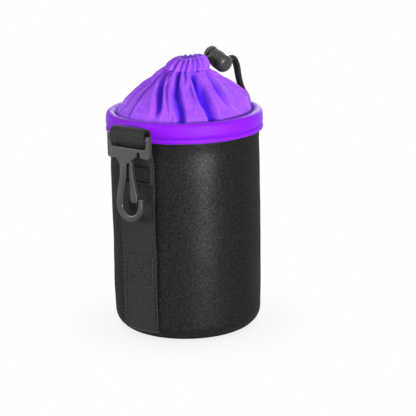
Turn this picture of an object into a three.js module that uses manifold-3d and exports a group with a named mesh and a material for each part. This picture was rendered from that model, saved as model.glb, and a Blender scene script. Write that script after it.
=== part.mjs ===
// Drawstring lens pouch: a padded round body with a bound rim, a gathered cloth collar closed by
// a drawstring and cord lock, and a webbing strap with a belt tunnel and a snap hook.
// Millimetres, +Z up. The origin is the middle of the base, on the surface the pouch stands on.
// The strap and the hook are on the -Y side. The cord lock is behind, towards +Y.
import * as THREE from "three";
import { mergeVertices } from "three/addons/utils/BufferGeometryUtils.js";
import Module from "manifold-3d";

const wasm = await Module();
wasm.setup();

// Clearances
const GAP = 0.3; // between pieces that lie against each other
const HOOK_PLAY = 0.4; // between the hook and the webbing behind it
const SIDE_PLAY = 0.5; // between the webbing and each arm of the hook's frame

// Padded body
const BODY_RADIUS = 45;
const BODY_HEIGHT = 135; // up to the top of the bound rim
const WALL = 3.6; // neoprene of the wall and the base
const CORNER = 10; // outer rounding of the lower edge
const SEAM_TURN = 45; // degrees round that edge to the seam between wall and base
const SEAM_TAPE = 0.8; // tape over that seam, inside
const SEAM_TAPE_REACH = 24; // degrees of the tape to each side of the seam
const LINING = 0.8;
const PAD = 4; // loose foam pad on the base

// Bound rim
const RIM_WALL = 2; // the wall, pressed thin inside the binding
const RIM_FLARE = 0.6; // how far the wall leans out at the rim
const RIM_TAPER = 5; // height over which the wall thins below the binding
const BINDING = 1.6; // thickness of the folded binding
const BINDING_OUTER = 12; // depth of its outer leg
const BINDING_INNER = 9; // depth of its inner leg
const THREAD = 0.5; // sewing thread
const RIM_STITCH = 3; // from the binding's lower edge up to its row of stitches
const RIM_GROOVE = 1.6; // width of the groove that the stitches pull into the binding

// Gathered collar
const COLLAR = 0.9; // cloth thickness
const COLLAR_TUCK = 11; // how far the cloth reaches down inside the rim
const COLLAR_RISE = 23.2; // from the rim up to the hem
const SHOULDER = [0.8, 0.47]; // bends of the dome, as shares of the rim's radius and the rise
const THROAT = [0.66, 0.65];
// Deep folds at the front, as [degrees from +X at the rim, the same at the neck, depth]
const FRONT_FOLDS = [
  [-107, -124, 1.8],
  [-80, -106, 3.4],
  [-55, -72, 4.4],
  [-28, -36, 4.8],
  [-4, 4, 2.6],
];
const BACK_FOLDS = 9; // straight folds at the back, a step apart
const BACK_FOLD_TURN = 49.5;
const BACK_FOLD_STEP = 19;
const BACK_FOLD_DEPTH = 2.8;
const FOLD_WIDTH = 2.4; // half the width of a fold
const FOLD_PUSH = [0.55, 0.83]; // shares of a fold's depth that go inwards and down
const FOLD_RUN_IN = 0.2; // share of the rise in which the folds grow from the rim
const FOLD_EASE = 0.6; // share of its depth that a fold has lost at the neck
const NECK_SHIFT = 2; // how far the lock pulls the neck off the middle
const HEM_CLOTH = 0.9; // cloth around the drawstring channel
const HEM_HEIGHT = 7.6;
const HEM_FLARE = 1.6; // how much wider the hem is at its foot than round the cord
const RUFFLES = 12; // waves round the hem
const RUFFLE_DEPTH = 0.5;
const HEM_STITCH = 1; // from the hem's lower edge up to its row of stitches

// Drawstring, its lock and its knot
const CORD = 2.5;
const CORD_TURN = 9; // radius of the cord's turn inside the hem
const CORD_EXIT = 44; // degrees from the lock's direction to each end of that turn
const LOCK_TURN = 16; // degrees from +Y towards +X, where the cord leaves the hem
const CORD_SLOPE = 5; // degrees that the cord falls as it passes through the lock
const STRAND = 1.4; // from the middle between the two strands to each of them
const KNOT_RADIUS = 3.5;
const KNOT_HEIGHT = 8.6;
const CUT_END = 6; // loose cord below the knot
const LOCK_OUT = 27.2; // from the pouch's axis to the lock
const LOCK_RISE = 26.4; // from the rim up to the cord inside the lock
const LOCK_ROLL = 20; // degrees that the button's end is tipped up
const BARREL_RADIUS = 5.6;
const BARREL_SHELL = 1.6; // wall of the barrel round its bore
const BARREL_FLOOR = 1.2;
const BARREL_TOP = 3.05; // barrel above its cord hole
const BARREL_ROUND = 3;
const HOLE_ROOM = 1.05; // spare room below the cord in the barrel's hole
const PRESS = 2.4; // travel of the plunger
const PLUNGER_FOOT = 1.3; // plunger below its slot
const CAP_RADIUS = 4.7;
const CAP_HEIGHT = 3.2;
const CAP_GROOVE = 0.4;
const SPRING_RADIUS = 2.6;
const SPRING_WIRE = 0.5;
const SPRING_TURNS = 3;
const SPRING_ROOM = 4; // between the barrel's floor and the plunger

// Webbing strap
const STRAP_WIDTH = 25;
const STRAP = 1.5;
const STRAP_CROWN = 0.1; // how much its faces fall towards the edges
const STRAP_END_TURN = 38; // degrees round the lower edge to the strap's sewn end
const TUNNEL = 1.2; // slack between strap and wall where a belt goes through
const TUNNEL_LOW = 55;
const TUNNEL_HEIGHT = 40;
const CROSS_LOW = 35; // sewn box with a cross, below the tunnel
const CROSS_HEIGHT = 19;
const CROSS_WIDTH = 20;
const BOX_DROP = 29; // from the hook's bar down to the sewn box above the tunnel
const BOX_HEIGHT = 10;
const BOX_WIDTH = 16;
const EDGE_STITCH = 1.8; // from the strap's edge to its row of stitches
const STITCH_LOW = 12; // lower end of those rows
const TAIL_BELOW_BOX = 1.5; // end of the webbing folded back behind the hook
const LOOP_ABOVE_BAR = 6; // webbing above the middle of the hook's bar

// Snap hook
const BAR_DROP = 8; // from the rim's top down to the hook's bar
const BAR_RADIUS = 1.9;
const HOOK = 3.4; // thickness
const ARM = 2.6;
const WINDOW = 6; // from the bar's middle down to the frame's lower bar
const FRAME_DROP = 13; // from the bar's middle down to the frame's lower edge
const FRAME_ROUND = 1.6;
const GUSSET = 9; // half width of the web between frame and limb
const GUSSET_DROP = 4;
const LIMB = 4.4;
const LIMB_SIDE = -4.2; // where the limb leaves the frame
const HOOK_LENGTH = 51; // from the bar's middle to the lowest point
const HOOK_TURN = 7.8; // radius of the hook's turn at the middle of the limb
const HOOK_TURN_SIDE = -0.2;
const TIP = 5; // from the turn's middle up to the tip
const GATE_TOP = 2; // width at the root
const GATE_END = 4;
const GATE_ROOT_SIDE = 1.2;
const GATE_OVERLAP = 3; // how far the gate reaches down behind the tip
const GATE_THINNER = 0.6; // how much thinner than the hook

// Roundness of the model
const SIDES = 36;
const DOME_SIDES = 96;
const DOME_STEPS = 8;
const HEM_SIDES = RUFFLES * 4;
const LOCK_SIDES = 24;
const CORD_SIDES = 8;
const ARC_STEPS = 2;
const THREAD_SIDES = 4;
const KNOT_SIDES = 12;
const BAR_SIDES = 16;
const CURVE_STEPS = 6;
const STRAP_STEPS = 4; // along each bend of the strap, and across its width
const COIL_STEPS = 10; // in each turn of the spring

// The drawstring's two ends, as [outward, above the rim, half the spread, degrees of twist]
const ROUTE = [
  [8.98, 27.75, 5.7, 0],
  [13.3, 27.6, 4, 22],
  [16.9, 27.4, 2.1, 46],
  [20.3, 27, 1.4, 70],
  [27.2, 26.4, 1.4, 70],
  [33.4, 25.85, 1.4, 70],
  [38.2, 25.4, 1.5, 55],
  [40.6, 22, 1.5, 12],
  [41.9, 15.9, 1.4, 0],
  [43.3, 10.2, 1.4, 0],
  [45.4, 5.4, 1.4, 0],
  [48.2, 1.4, 1.4, 0],
  [49.5, -5, 1.4, 0],
  [49.5, -15, 1.4, 0],
  [49.3, -27, 1.4, 0],
  [49.2, -39, 1.4, 0],
  [49.2, -50, 1.4, 0],
];
const TAIL_STEPS = 30;
const TURN_STEPS = 24;
const EXIT_POINTS = 5; // how many of these points lead out of the hem
const EXIT_STEPS = 8;

const NEOPRENE = { color: 0x1f2022, roughness: 0.85, metalness: 0 };
const PURPLE = { color: 0x8a34f0, roughness: 0.7, metalness: 0 };
const PURPLE_THREAD = { color: 0x6a1fd0, roughness: 0.8, metalness: 0 };
const PLUSH = { color: 0x2a2a2d, roughness: 0.95, metalness: 0 };
const FOAM = { color: 0x303034, roughness: 0.95, metalness: 0 };
const WEBBING = { color: 0x1b1c1e, roughness: 0.8, metalness: 0 };
const BLACK_THREAD = { color: 0x151517, roughness: 0.7, metalness: 0 };
const PLASTIC = { color: 0x141416, roughness: 0.35, metalness: 0 };
const BRAID = { color: 0x18181c, roughness: 0.75, metalness: 0 };
const STEEL = { color: 0xb9bcc0, roughness: 0.3, metalness: 1 };

// Places worked out from the sizes
const radians = THREE.MathUtils.degToRad;
const cornerMiddle = BODY_RADIUS - CORNER;
const liningOuter = BODY_RADIUS - WALL - GAP;
const rimWallOuter = BODY_RADIUS + RIM_FLARE;
const rimWallInner = rimWallOuter - RIM_WALL;
const rimOuter = rimWallOuter + GAP + BINDING;
const rimInner = rimWallInner - GAP - BINDING;
const rimMiddle = (rimOuter + rimInner) / 2;
const rimTurn = (rimOuter - rimInner) / 2;
const rimTurnHeight = BODY_HEIGHT - rimTurn;
const bindingLow = BODY_HEIGHT - BINDING_OUTER;
const bindingInnerLow = BODY_HEIGHT - BINDING_INNER;
const taperLow = bindingLow - RIM_TAPER;
const stitchHeight = bindingLow + RIM_STITCH;
const channel = CORD / 2 + GAP;
const hemLow = BODY_HEIGHT + COLLAR_RISE + COLLAR / 2 + GAP;
const hemOuter = CORD_TURN + channel + HEM_CLOTH;
const hemFoot = hemOuter + HEM_FLARE;
const neckRadius = hemFoot - HEM_CLOTH;
const strapSewn = BODY_RADIUS + GAP + STRAP / 2;
const strapOverRim = rimOuter + GAP + STRAP / 2;
const tailOut = STRAP + GAP; // from one layer of webbing to the next
const hookPlane = strapOverRim + tailOut + STRAP / 2 + HOOK_PLAY + HOOK / 2;
const barHeight = BODY_HEIGHT - BAR_DROP;
const boxLow = barHeight - BOX_DROP;

// Directions at the lock: out along the cord, across it, and up
const outward = new THREE.Vector3(Math.sin(radians(LOCK_TURN)), Math.cos(radians(LOCK_TURN)), 0);
const across = new THREE.Vector3(outward.y, -outward.x, 0);
const up = new THREE.Vector3(0, 0, 1);

// A solid for joining and cutting, from a closed geometry.
function solidOf(geometry) {
  const bare = geometry.clone();
  bare.deleteAttribute("normal");
  bare.deleteAttribute("uv");
  const merged = mergeVertices(bare, 1e-3);
  const corners = merged.index.array;
  const faces = [];
  for (let i = 0; i < corners.length; i += 3) {
    const [a, b, c] = corners.subarray(i, i + 3);
    if (a !== b && b !== c && c !== a) {
      faces.push(a, b, c);
    }
  }
  const vertProperties = merged.attributes.position.array;
  const triVerts = new Uint32Array(faces);
  return new wasm.Manifold(new wasm.Mesh({ numProp: 3, vertProperties, triVerts }));
}

function geometryOf(solid) {
  const mesh = solid.getMesh();
  const geometry = new THREE.BufferGeometry();
  geometry.setAttribute("position", new THREE.BufferAttribute(mesh.vertProperties, 3));
  geometry.setIndex(new THREE.BufferAttribute(mesh.triVerts, 1));
  geometry.computeVertexNormals();
  return geometry;
}

function joined(...pieces) {
  return geometryOf(pieces.map(solidOf).reduce((whole, piece) => whole.add(piece)));
}

function cutBy(piece, ...tools) {
  return geometryOf(tools.map(solidOf).reduce((whole, tool) => whole.subtract(tool), solidOf(piece)));
}

// A profile of [radius, height] points that runs up its outside, turned about Z.
function revolved(profile, sides = SIDES) {
  return new THREE.LatheGeometry(profile, sides).rotateX(Math.PI / 2);
}

function ring(profile, sides = SIDES) {
  return revolved([...profile, profile[0]], sides);
}

function points(...pairs) {
  return pairs.map(([x, y]) => new THREE.Vector2(x, y));
}

function roundSection(radius, middle = 0, height = 0, sides = CORD_SIDES) {
  return Array.from({ length: sides }, (_, i) => {
    const turn = (2 * Math.PI * i) / sides;
    return new THREE.Vector2(middle + radius * Math.cos(turn), height + radius * Math.sin(turn));
  });
}

// The outline of a band of even thickness along a line of points.
function band(line, thickness) {
  const sides = line.map((point, i) => {
    const before = line[Math.max(i - 1, 0)];
    const after = line[Math.min(i + 1, line.length - 1)];
    const along = after.clone().sub(before).normalize();
    return new THREE.Vector2(along.y, -along.x).multiplyScalar(thickness / 2);
  });
  const right = line.map((point, i) => point.clone().add(sides[i]));
  const left = line.map((point, i) => point.clone().sub(sides[i]));
  return [...right, ...left.reverse()];
}

function extruded(outline, depth) {
  const shape = new THREE.Shape(outline);
  const geometry = new THREE.ExtrudeGeometry(shape, { depth, bevelEnabled: false });
  return geometry.translate(0, 0, -depth / 2);
}

function tube(curve, radius, steps, sides = CORD_SIDES) {
  const shape = new THREE.Shape(roundSection(radius, 0, 0, sides));
  return new THREE.ExtrudeGeometry(shape, { extrudePath: curve, steps, bevelEnabled: false });
}

// A curve that a sweep follows with one step for each of its places.
class Course extends THREE.Curve {
  constructor(places) {
    super();
    this.places = places;
  }

  getPointAt(share) {
    return this.places[Math.round(share * (this.places.length - 1))].clone();
  }

  getTangentAt(share) {
    const last = this.places.length - 1;
    const i = Math.round(share * last);
    const before = this.places[Math.max(i - 1, 0)];
    const after = this.places[Math.min(i + 1, last)];
    return after.clone().sub(before).normalize();
  }
}

// Moves each point of a piece on the -Y side so that its width follows the round wall.
function wrapped(geometry, share = () => 1) {
  const place = geometry.attributes.position;
  for (let i = 0; i < place.count; i += 1) {
    const x = place.getX(i);
    const radius = -place.getY(i);
    const sag = radius - Math.sqrt(radius * radius - x * x);
    place.setY(i, -radius + sag * share(place.getZ(i)));
  }
  return geometry;
}

const pouch = new THREE.Group();
pouch.name = "lens_pouch";

function add(group, name, geometry, finish) {
  const mesh = new THREE.Mesh(geometry, new THREE.MeshStandardMaterial(finish));
  mesh.name = name;
  group.add(mesh);
}

// Padded body
function addBody() {
  const seam = -radians(SEAM_TURN);
  const half = GAP / 2 / (CORNER - WALL);

  const wall = new THREE.Path();
  wall.absarc(cornerMiddle, CORNER, CORNER, seam + half, 0);
  wall.lineTo(BODY_RADIUS, taperLow);
  wall.lineTo(rimWallOuter, bindingLow);
  wall.absarc(rimMiddle, rimTurnHeight, RIM_WALL / 2, 0, Math.PI);
  wall.lineTo(rimWallInner, bindingLow);
  wall.lineTo(BODY_RADIUS - WALL, taperLow);
  wall.absarc(cornerMiddle, CORNER, CORNER - WALL, 0, seam + half, true);
  add(pouch, "neoprene_wall", ring(wall.getPoints(ARC_STEPS)), NEOPRENE);

  const base = new THREE.Path();
  base.moveTo(0, 0);
  base.lineTo(cornerMiddle, 0);
  base.absarc(cornerMiddle, CORNER, CORNER, -Math.PI / 2, seam - half);
  base.absarc(cornerMiddle, CORNER, CORNER - WALL, seam - half, -Math.PI / 2, true);
  base.lineTo(0, WALL);
  add(pouch, "base_panel", revolved(base.getPoints(ARC_STEPS)), NEOPRENE);

  const tapeRadius = CORNER - WALL - GAP - SEAM_TAPE / 2;
  const reach = radians(SEAM_TAPE_REACH);
  const tape = new THREE.Path();
  tape.absarc(cornerMiddle, CORNER, tapeRadius, seam - reach, seam + reach);
  add(pouch, "base_seam_tape", ring(band(tape.getPoints(1), SEAM_TAPE)), BLACK_THREAD);

  const padLow = WALL + GAP;
  const padTop = padLow + PAD;
  const padRadius = cornerMiddle - GAP;
  const pad = points([0, padLow], [padRadius, padLow], [padRadius, padTop], [0, padTop]);
  add(pouch, "base_pad", revolved(pad), FOAM);

  const discLow = padTop + GAP;
  const discTop = discLow + LINING;
  const discRadius = cornerMiddle + tapeRadius - SEAM_TAPE - GAP;
  const disc = points([0, discLow], [discRadius, discLow], [discRadius, discTop], [0, discTop]);
  add(pouch, "base_lining", revolved(disc), PLUSH);

  const sleeveLow = Math.max(CORNER, discTop + GAP);
  const sleeveTop = taperLow - GAP;
  const sleeveInner = liningOuter - LINING;
  const sleeve = points(
    [liningOuter, sleeveLow],
    [liningOuter, sleeveTop],
    [sleeveInner, sleeveTop],
    [sleeveInner, sleeveLow],
  );
  add(pouch, "lining_sleeve", ring(sleeve), PLUSH);
}

// Bound rim, with a row of stitches in its groove
function addRim() {
  const grooveDepth = THREAD + GAP;
  const outline = new THREE.Path();
  outline.moveTo(rimOuter - BINDING, bindingLow);
  outline.lineTo(rimOuter, bindingLow);
  outline.lineTo(rimOuter, stitchHeight - RIM_GROOVE / 2);
  outline.lineTo(rimOuter - grooveDepth, stitchHeight - THREAD / 2);
  outline.lineTo(rimOuter - grooveDepth, stitchHeight + THREAD / 2);
  outline.lineTo(rimOuter, stitchHeight + RIM_GROOVE / 2);
  outline.absarc(rimMiddle, rimTurnHeight, rimTurn, 0, Math.PI);
  outline.lineTo(rimInner, bindingInnerLow);
  outline.lineTo(rimInner + BINDING, bindingInnerLow);
  outline.absarc(rimMiddle, rimTurnHeight, rimTurn - BINDING, Math.PI, 0, true);
  add(pouch, "rim_binding", ring(outline.getPoints(ARC_STEPS)), PURPLE);

  const row = roundSection(THREAD / 2, rimOuter - THREAD / 2, stitchHeight, THREAD_SIDES);
  add(pouch, "rim_stitch", ring(row), PURPLE_THREAD);
}

// Moves each point of a geometry as told
function moved(geometry, move) {
  const place = geometry.attributes.position;
  const point = new THREE.Vector3();
  for (let i = 0; i < place.count; i += 1) {
    point.fromBufferAttribute(place, i);
    move(point, Math.hypot(point.x, point.y), Math.atan2(point.y, point.x));
    place.setXYZ(i, point.x, point.y, point.z);
  }
  return geometry;
}

// Waves a hem piece in and out and sets it on the neck. A hollow faces the lock.
function ruffled(geometry) {
  const lockAngle = Math.atan2(outward.y, outward.x);
  return moved(geometry, (point, radius, angle) => {
    const wave = -Math.cos(RUFFLES * (angle - lockAngle));
    const grown = (radius + RUFFLE_DEPTH * wave) / radius;
    point.set(point.x * grown, point.y * grown, point.z);
    point.addScaledVector(outward, NECK_SHIFT);
  });
}

// Presses the dome in at its folds and leans its neck towards the lock
function folded(geometry) {
  const { smoothstep, lerp, euclideanModulo, radToDeg } = THREE.MathUtils;
  const backFolds = Array.from({ length: BACK_FOLDS }, (_, i) => {
    const turn = BACK_FOLD_TURN + i * BACK_FOLD_STEP;
    return [turn, turn, BACK_FOLD_DEPTH];
  });
  return moved(geometry, (point, radius, angle) => {
    const share = smoothstep(point.z, BODY_HEIGHT, BODY_HEIGHT + COLLAR_RISE);
    let depth = 0;
    for (const [rimTurnedTo, neckTurnedTo, deep] of [...FRONT_FOLDS, ...backFolds]) {
      const middle = lerp(rimTurnedTo, neckTurnedTo, share);
      const apart = euclideanModulo(radToDeg(angle) - middle + 180, 360) - 180;
      depth += deep * Math.exp(-(((radians(apart) * radius) / FOLD_WIDTH) ** 2));
    }
    depth *= smoothstep(share, 0, FOLD_RUN_IN) * (1 - FOLD_EASE * share);
    const shrunk = (radius - depth * FOLD_PUSH[0]) / radius;
    point.set(point.x * shrunk, point.y * shrunk, point.z - depth * FOLD_PUSH[1]);
    point.addScaledVector(outward, NECK_SHIFT * share);
  });
}

// Gathered collar with its hem and stitches
function addCollar() {
  const tuck = rimInner - GAP - COLLAR / 2;
  const top = BODY_HEIGHT + COLLAR_RISE;

  const line = new THREE.Path();
  line.moveTo(tuck, BODY_HEIGHT - COLLAR_TUCK);
  line.lineTo(tuck, BODY_HEIGHT - GAP);
  line.bezierCurveTo(
    tuck * SHOULDER[0], BODY_HEIGHT + COLLAR_RISE * SHOULDER[1],
    tuck * THROAT[0], BODY_HEIGHT + COLLAR_RISE * THROAT[1],
    neckRadius, top,
  );
  const cloth = ring(band(line.getPoints(DOME_STEPS), COLLAR), DOME_SIDES);
  add(pouch, "collar_cloth", folded(cloth), PURPLE);

  const cordHeight = hemLow + HEM_HEIGHT / 2;
  const hemInner = CORD_TURN - channel - HEM_CLOTH;
  const hemTop = hemLow + HEM_HEIGHT;
  const block = ring(
    points(
      [hemFoot, hemLow],
      [hemFoot, hemLow + 2 * HEM_STITCH],
      [hemOuter, cordHeight + HEM_CLOTH],
      [hemOuter - 2 * HEM_CLOTH, hemTop],
      [hemInner + HEM_CLOTH, hemTop],
      [hemInner, cordHeight],
      [hemInner, hemLow],
    ),
    HEM_SIDES,
  );
  const shift = outward.clone().multiplyScalar(NECK_SHIFT);
  const tunnel = ring(roundSection(channel, CORD_TURN, cordHeight), SIDES);
  tunnel.translate(shift.x, shift.y, 0);
  const exits = [1, -1].map((side) => tube(strand(side, EXIT_POINTS), channel, EXIT_STEPS));
  const hem = ruffled(block);
  add(pouch, "collar_hem", cutBy(hem, tunnel, ...exits), PURPLE);

  const rowRadius = hemFoot + GAP + THREAD / 2;
  const rowSection = roundSection(THREAD / 2, rowRadius, hemLow + HEM_STITCH, THREAD_SIDES);
  const row = ruffled(ring(rowSection, HEM_SIDES));
  add(pouch, "hem_stitch", cutBy(row, ...exits), PURPLE_THREAD);

  const lockAngle = Math.atan2(outward.y, outward.x);
  const from = lockAngle + radians(CORD_EXIT);
  const length = 2 * Math.PI - 2 * radians(CORD_EXIT);
  const places = Array.from({ length: TURN_STEPS + 1 }, (_, i) => {
    const angle = from + (length * i) / TURN_STEPS;
    const place = new THREE.Vector3(Math.cos(angle), Math.sin(angle), 0).multiplyScalar(CORD_TURN);
    return place.add(shift).setZ(cordHeight);
  });
  const circle = new THREE.CatmullRomCurve3(places);
  add(pouch, "drawstring_ring", tube(circle, CORD / 2, TURN_STEPS), BRAID);
}

// The line of one end of the drawstring, from the hem to the knot
function strand(side, count = ROUTE.length) {
  const places = ROUTE.slice(0, count).map(([out, rise, spread, twist]) => {
    const place = outward.clone().multiplyScalar(out);
    place.z = BODY_HEIGHT + rise;
    place.addScaledVector(across, side * spread * Math.cos(radians(twist)));
    place.addScaledVector(up, side * spread * Math.sin(radians(twist)));
    return place;
  });
  return new THREE.CatmullRomCurve3(places);
}

function addCord() {
  add(pouch, "drawstring_tail_right", tube(strand(1), CORD / 2, TAIL_STEPS), BRAID);
  add(pouch, "drawstring_tail_left", tube(strand(-1), CORD / 2, TAIL_STEPS), BRAID);

  const [out, rise] = ROUTE[ROUTE.length - 1];
  const half = KNOT_HEIGHT / 2;
  const middle = outward.clone().multiplyScalar(out);
  const lump = new THREE.SphereGeometry(1, KNOT_SIDES, KNOT_SIDES).rotateX(Math.PI / 2);
  lump.scale(KNOT_RADIUS, KNOT_RADIUS, half);
  const ends = [1, -1].map((side) => {
    const end = new THREE.CylinderGeometry(CORD / 2, CORD / 2, CUT_END + half, CORD_SIDES);
    end.rotateX(Math.PI / 2);
    return end.translate(side * STRAND * across.x, side * STRAND * across.y, -(CUT_END + half) / 2);
  });
  const knot = joined(lump, ...ends);
  knot.translate(middle.x, middle.y, BODY_HEIGHT + rise - GAP - half);
  add(pouch, "tail_knot", knot, BRAID);
}

// Cord lock. Its own X runs along the cord and its own Z towards the button.
function addLock() {
  const slope = radians(CORD_SLOPE);
  const roll = radians(LOCK_ROLL);
  const along = outward.clone().multiplyScalar(Math.cos(slope)).addScaledVector(up, -Math.sin(slope));
  const above = outward.clone().multiplyScalar(Math.sin(slope)).addScaledVector(up, Math.cos(slope));
  const button = across.clone().multiplyScalar(-Math.cos(roll)).addScaledVector(above, Math.sin(roll));
  const beside = button.clone().cross(along);
  const lock = new THREE.Group();
  lock.setRotationFromMatrix(new THREE.Matrix4().makeBasis(along, beside, button));
  lock.position.copy(outward).multiplyScalar(LOCK_OUT);
  lock.position.z = BODY_HEIGHT + LOCK_RISE;
  pouch.add(lock);

  const cordSide = CORD / 2 + GAP; // from the cord's middle to what holds it
  const slotWidth = 2 * (STRAND + cordSide);
  const plungerRadius = BARREL_RADIUS - BARREL_SHELL - GAP;
  const plungerLow = -cordSide - PLUNGER_FOOT;
  const floorTop = plungerLow - SPRING_ROOM;
  const barrelLow = floorTop - BARREL_FLOOR;
  const barrelTop = cordSide + BARREL_TOP;
  const bore = plungerRadius + GAP;
  const through = 4 * BARREL_RADIUS;

  const barrelLine = new THREE.Path();
  barrelLine.moveTo(0, barrelLow);
  barrelLine.lineTo(BARREL_RADIUS - BARREL_ROUND, barrelLow);
  const roundHeight = barrelLow + BARREL_ROUND;
  barrelLine.absarc(BARREL_RADIUS - BARREL_ROUND, roundHeight, BARREL_ROUND, -Math.PI / 2, 0);
  barrelLine.lineTo(BARREL_RADIUS, barrelTop - GAP);
  barrelLine.lineTo(BARREL_RADIUS - GAP, barrelTop);
  barrelLine.lineTo(bore, barrelTop);
  barrelLine.lineTo(bore, floorTop);
  barrelLine.lineTo(0, floorTop);
  const barrel = revolved(barrelLine.getPoints(ARC_STEPS), LOCK_SIDES);
  const holeHeight = 2 * cordSide + HOLE_ROOM;
  const hole = new THREE.BoxGeometry(through, slotWidth, holeHeight);
  hole.translate(0, 0, cordSide - holeHeight / 2);
  add(lock, "lock_barrel", cutBy(barrel, hole), PLASTIC);

  const capLow = barrelTop + PRESS + GAP;
  const capTop = capLow + CAP_HEIGHT;
  const capMiddle = (capLow + capTop) / 2;
  const capEdge = CAP_RADIUS - CAP_GROOVE;
  const plungerLine = points(
    [0, plungerLow],
    [plungerRadius, plungerLow],
    [plungerRadius, capLow],
    [CAP_RADIUS, capLow],
    [CAP_RADIUS, capMiddle - CAP_GROOVE],
    [capEdge, capMiddle],
    [CAP_RADIUS, capMiddle + CAP_GROOVE],
    [CAP_RADIUS, capTop - 2 * CAP_GROOVE],
    [capEdge - CAP_GROOVE, capTop],
    [0, capTop],
  );
  const slotHeight = 2 * cordSide + PRESS;
  const slot = new THREE.BoxGeometry(through, slotWidth, slotHeight);
  slot.translate(0, 0, slotHeight / 2 - cordSide);
  add(lock, "lock_plunger", cutBy(revolved(plungerLine, LOCK_SIDES), slot), PLASTIC);

  const coilLow = floorTop + GAP + SPRING_WIRE / 2;
  const coilTop = plungerLow - GAP - SPRING_WIRE / 2;
  const steps = SPRING_TURNS * COIL_STEPS;
  const places = Array.from({ length: steps + 1 }, (_, i) => {
    const turn = (2 * Math.PI * SPRING_TURNS * i) / steps;
    const height = coilLow + ((coilTop - coilLow) * i) / steps;
    return new THREE.Vector3(SPRING_RADIUS * Math.cos(turn), SPRING_RADIUS * Math.sin(turn), height);
  });
  const coil = new THREE.CatmullRomCurve3(places);
  add(lock, "lock_spring", tube(coil, SPRING_WIRE / 2, steps, THREAD_SIDES), STEEL);
}

// The strap's line in [radius, height]: up the wall, out over the belt tunnel, over the rim,
// round the hook's bar and back down on its own outer face.
function strapLine() {
  const tunnelOut = BODY_RADIUS + TUNNEL + STRAP / 2;
  const middle = TUNNEL_LOW + TUNNEL_HEIGHT / 2;
  const top = TUNNEL_LOW + TUNNEL_HEIGHT;
  const ease = TUNNEL_HEIGHT / 8;
  const lean = boxLow + BOX_HEIGHT;
  const rimLow = bindingLow - GAP;
  const leanMiddle = (lean + rimLow) / 2;
  const front = hookPlane + BAR_RADIUS + GAP + STRAP / 2;
  const turn = (front - strapOverRim) / 2;
  const turnHeight = barHeight + LOOP_ABOVE_BAR - STRAP / 2 - turn;
  const barTurn = front - hookPlane;
  const tailOverRim = strapOverRim + tailOut;
  const foldTurn = hookPlane - tailOverRim;
  const foldHeight = barHeight - barTurn - foldTurn;
  const endTurn = -radians(STRAP_END_TURN);

  const line = new THREE.Path();
  line.absarc(cornerMiddle, CORNER, CORNER + GAP + STRAP / 2, endTurn, 0);
  line.lineTo(strapSewn, TUNNEL_LOW);
  line.bezierCurveTo(strapSewn, TUNNEL_LOW + ease, tunnelOut, TUNNEL_LOW + ease, tunnelOut, middle);
  line.bezierCurveTo(tunnelOut, top - ease, strapSewn, top - ease, strapSewn, top);
  line.lineTo(strapSewn, lean);
  line.bezierCurveTo(strapSewn, leanMiddle, strapOverRim, leanMiddle, strapOverRim, rimLow);
  line.absarc(strapOverRim + turn, turnHeight, turn, Math.PI, 0, true);
  line.absarc(hookPlane, barHeight, barTurn, 0, -Math.PI / 2, true);
  line.absarc(hookPlane, foldHeight, foldTurn, Math.PI / 2, Math.PI);
  const tailSewn = strapSewn + tailOut;
  const tailLow = foldHeight - tailOut;
  const tailMiddle = (lean + tailLow) / 2;
  line.bezierCurveTo(tailOverRim, tailMiddle, tailSewn, tailMiddle, tailSewn, lean);
  line.lineTo(tailSewn, boxLow - TAIL_BELOW_BOX);
  const places = line.getPoints(STRAP_STEPS);
  return places.filter((place, i) => i === 0 || place.distanceTo(places[i - 1]) > GAP);
}

// The webbing's section: flat, with faces that fall a little towards the edges
function strapSection() {
  const face = Array.from({ length: STRAP_STEPS + 1 }, (_, i) => {
    const share = (2 * i) / STRAP_STEPS - 1;
    return new THREE.Vector2((share * STRAP_WIDTH) / 2, STRAP / 2 - STRAP_CROWN * share * share);
  });
  const under = face.map((point) => new THREE.Vector2(-point.x, -point.y));
  return new THREE.Shape([...face, ...under]);
}

// A row of stitches on the strap, laid between two points of its outer face
function stitches(from, to, radius) {
  const length = from.distanceTo(to);
  const bar = new THREE.BoxGeometry(length, THREAD, THREAD, CURVE_STEPS);
  bar.rotateY(-Math.atan2(to.y - from.y, to.x - from.x));
  return bar.translate((from.x + to.x) / 2, -radius, (from.y + to.y) / 2);
}

function box(width, low, height) {
  const side = width / 2;
  return points([-side, low], [side, low], [side, low + height], [-side, low + height]);
}

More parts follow.
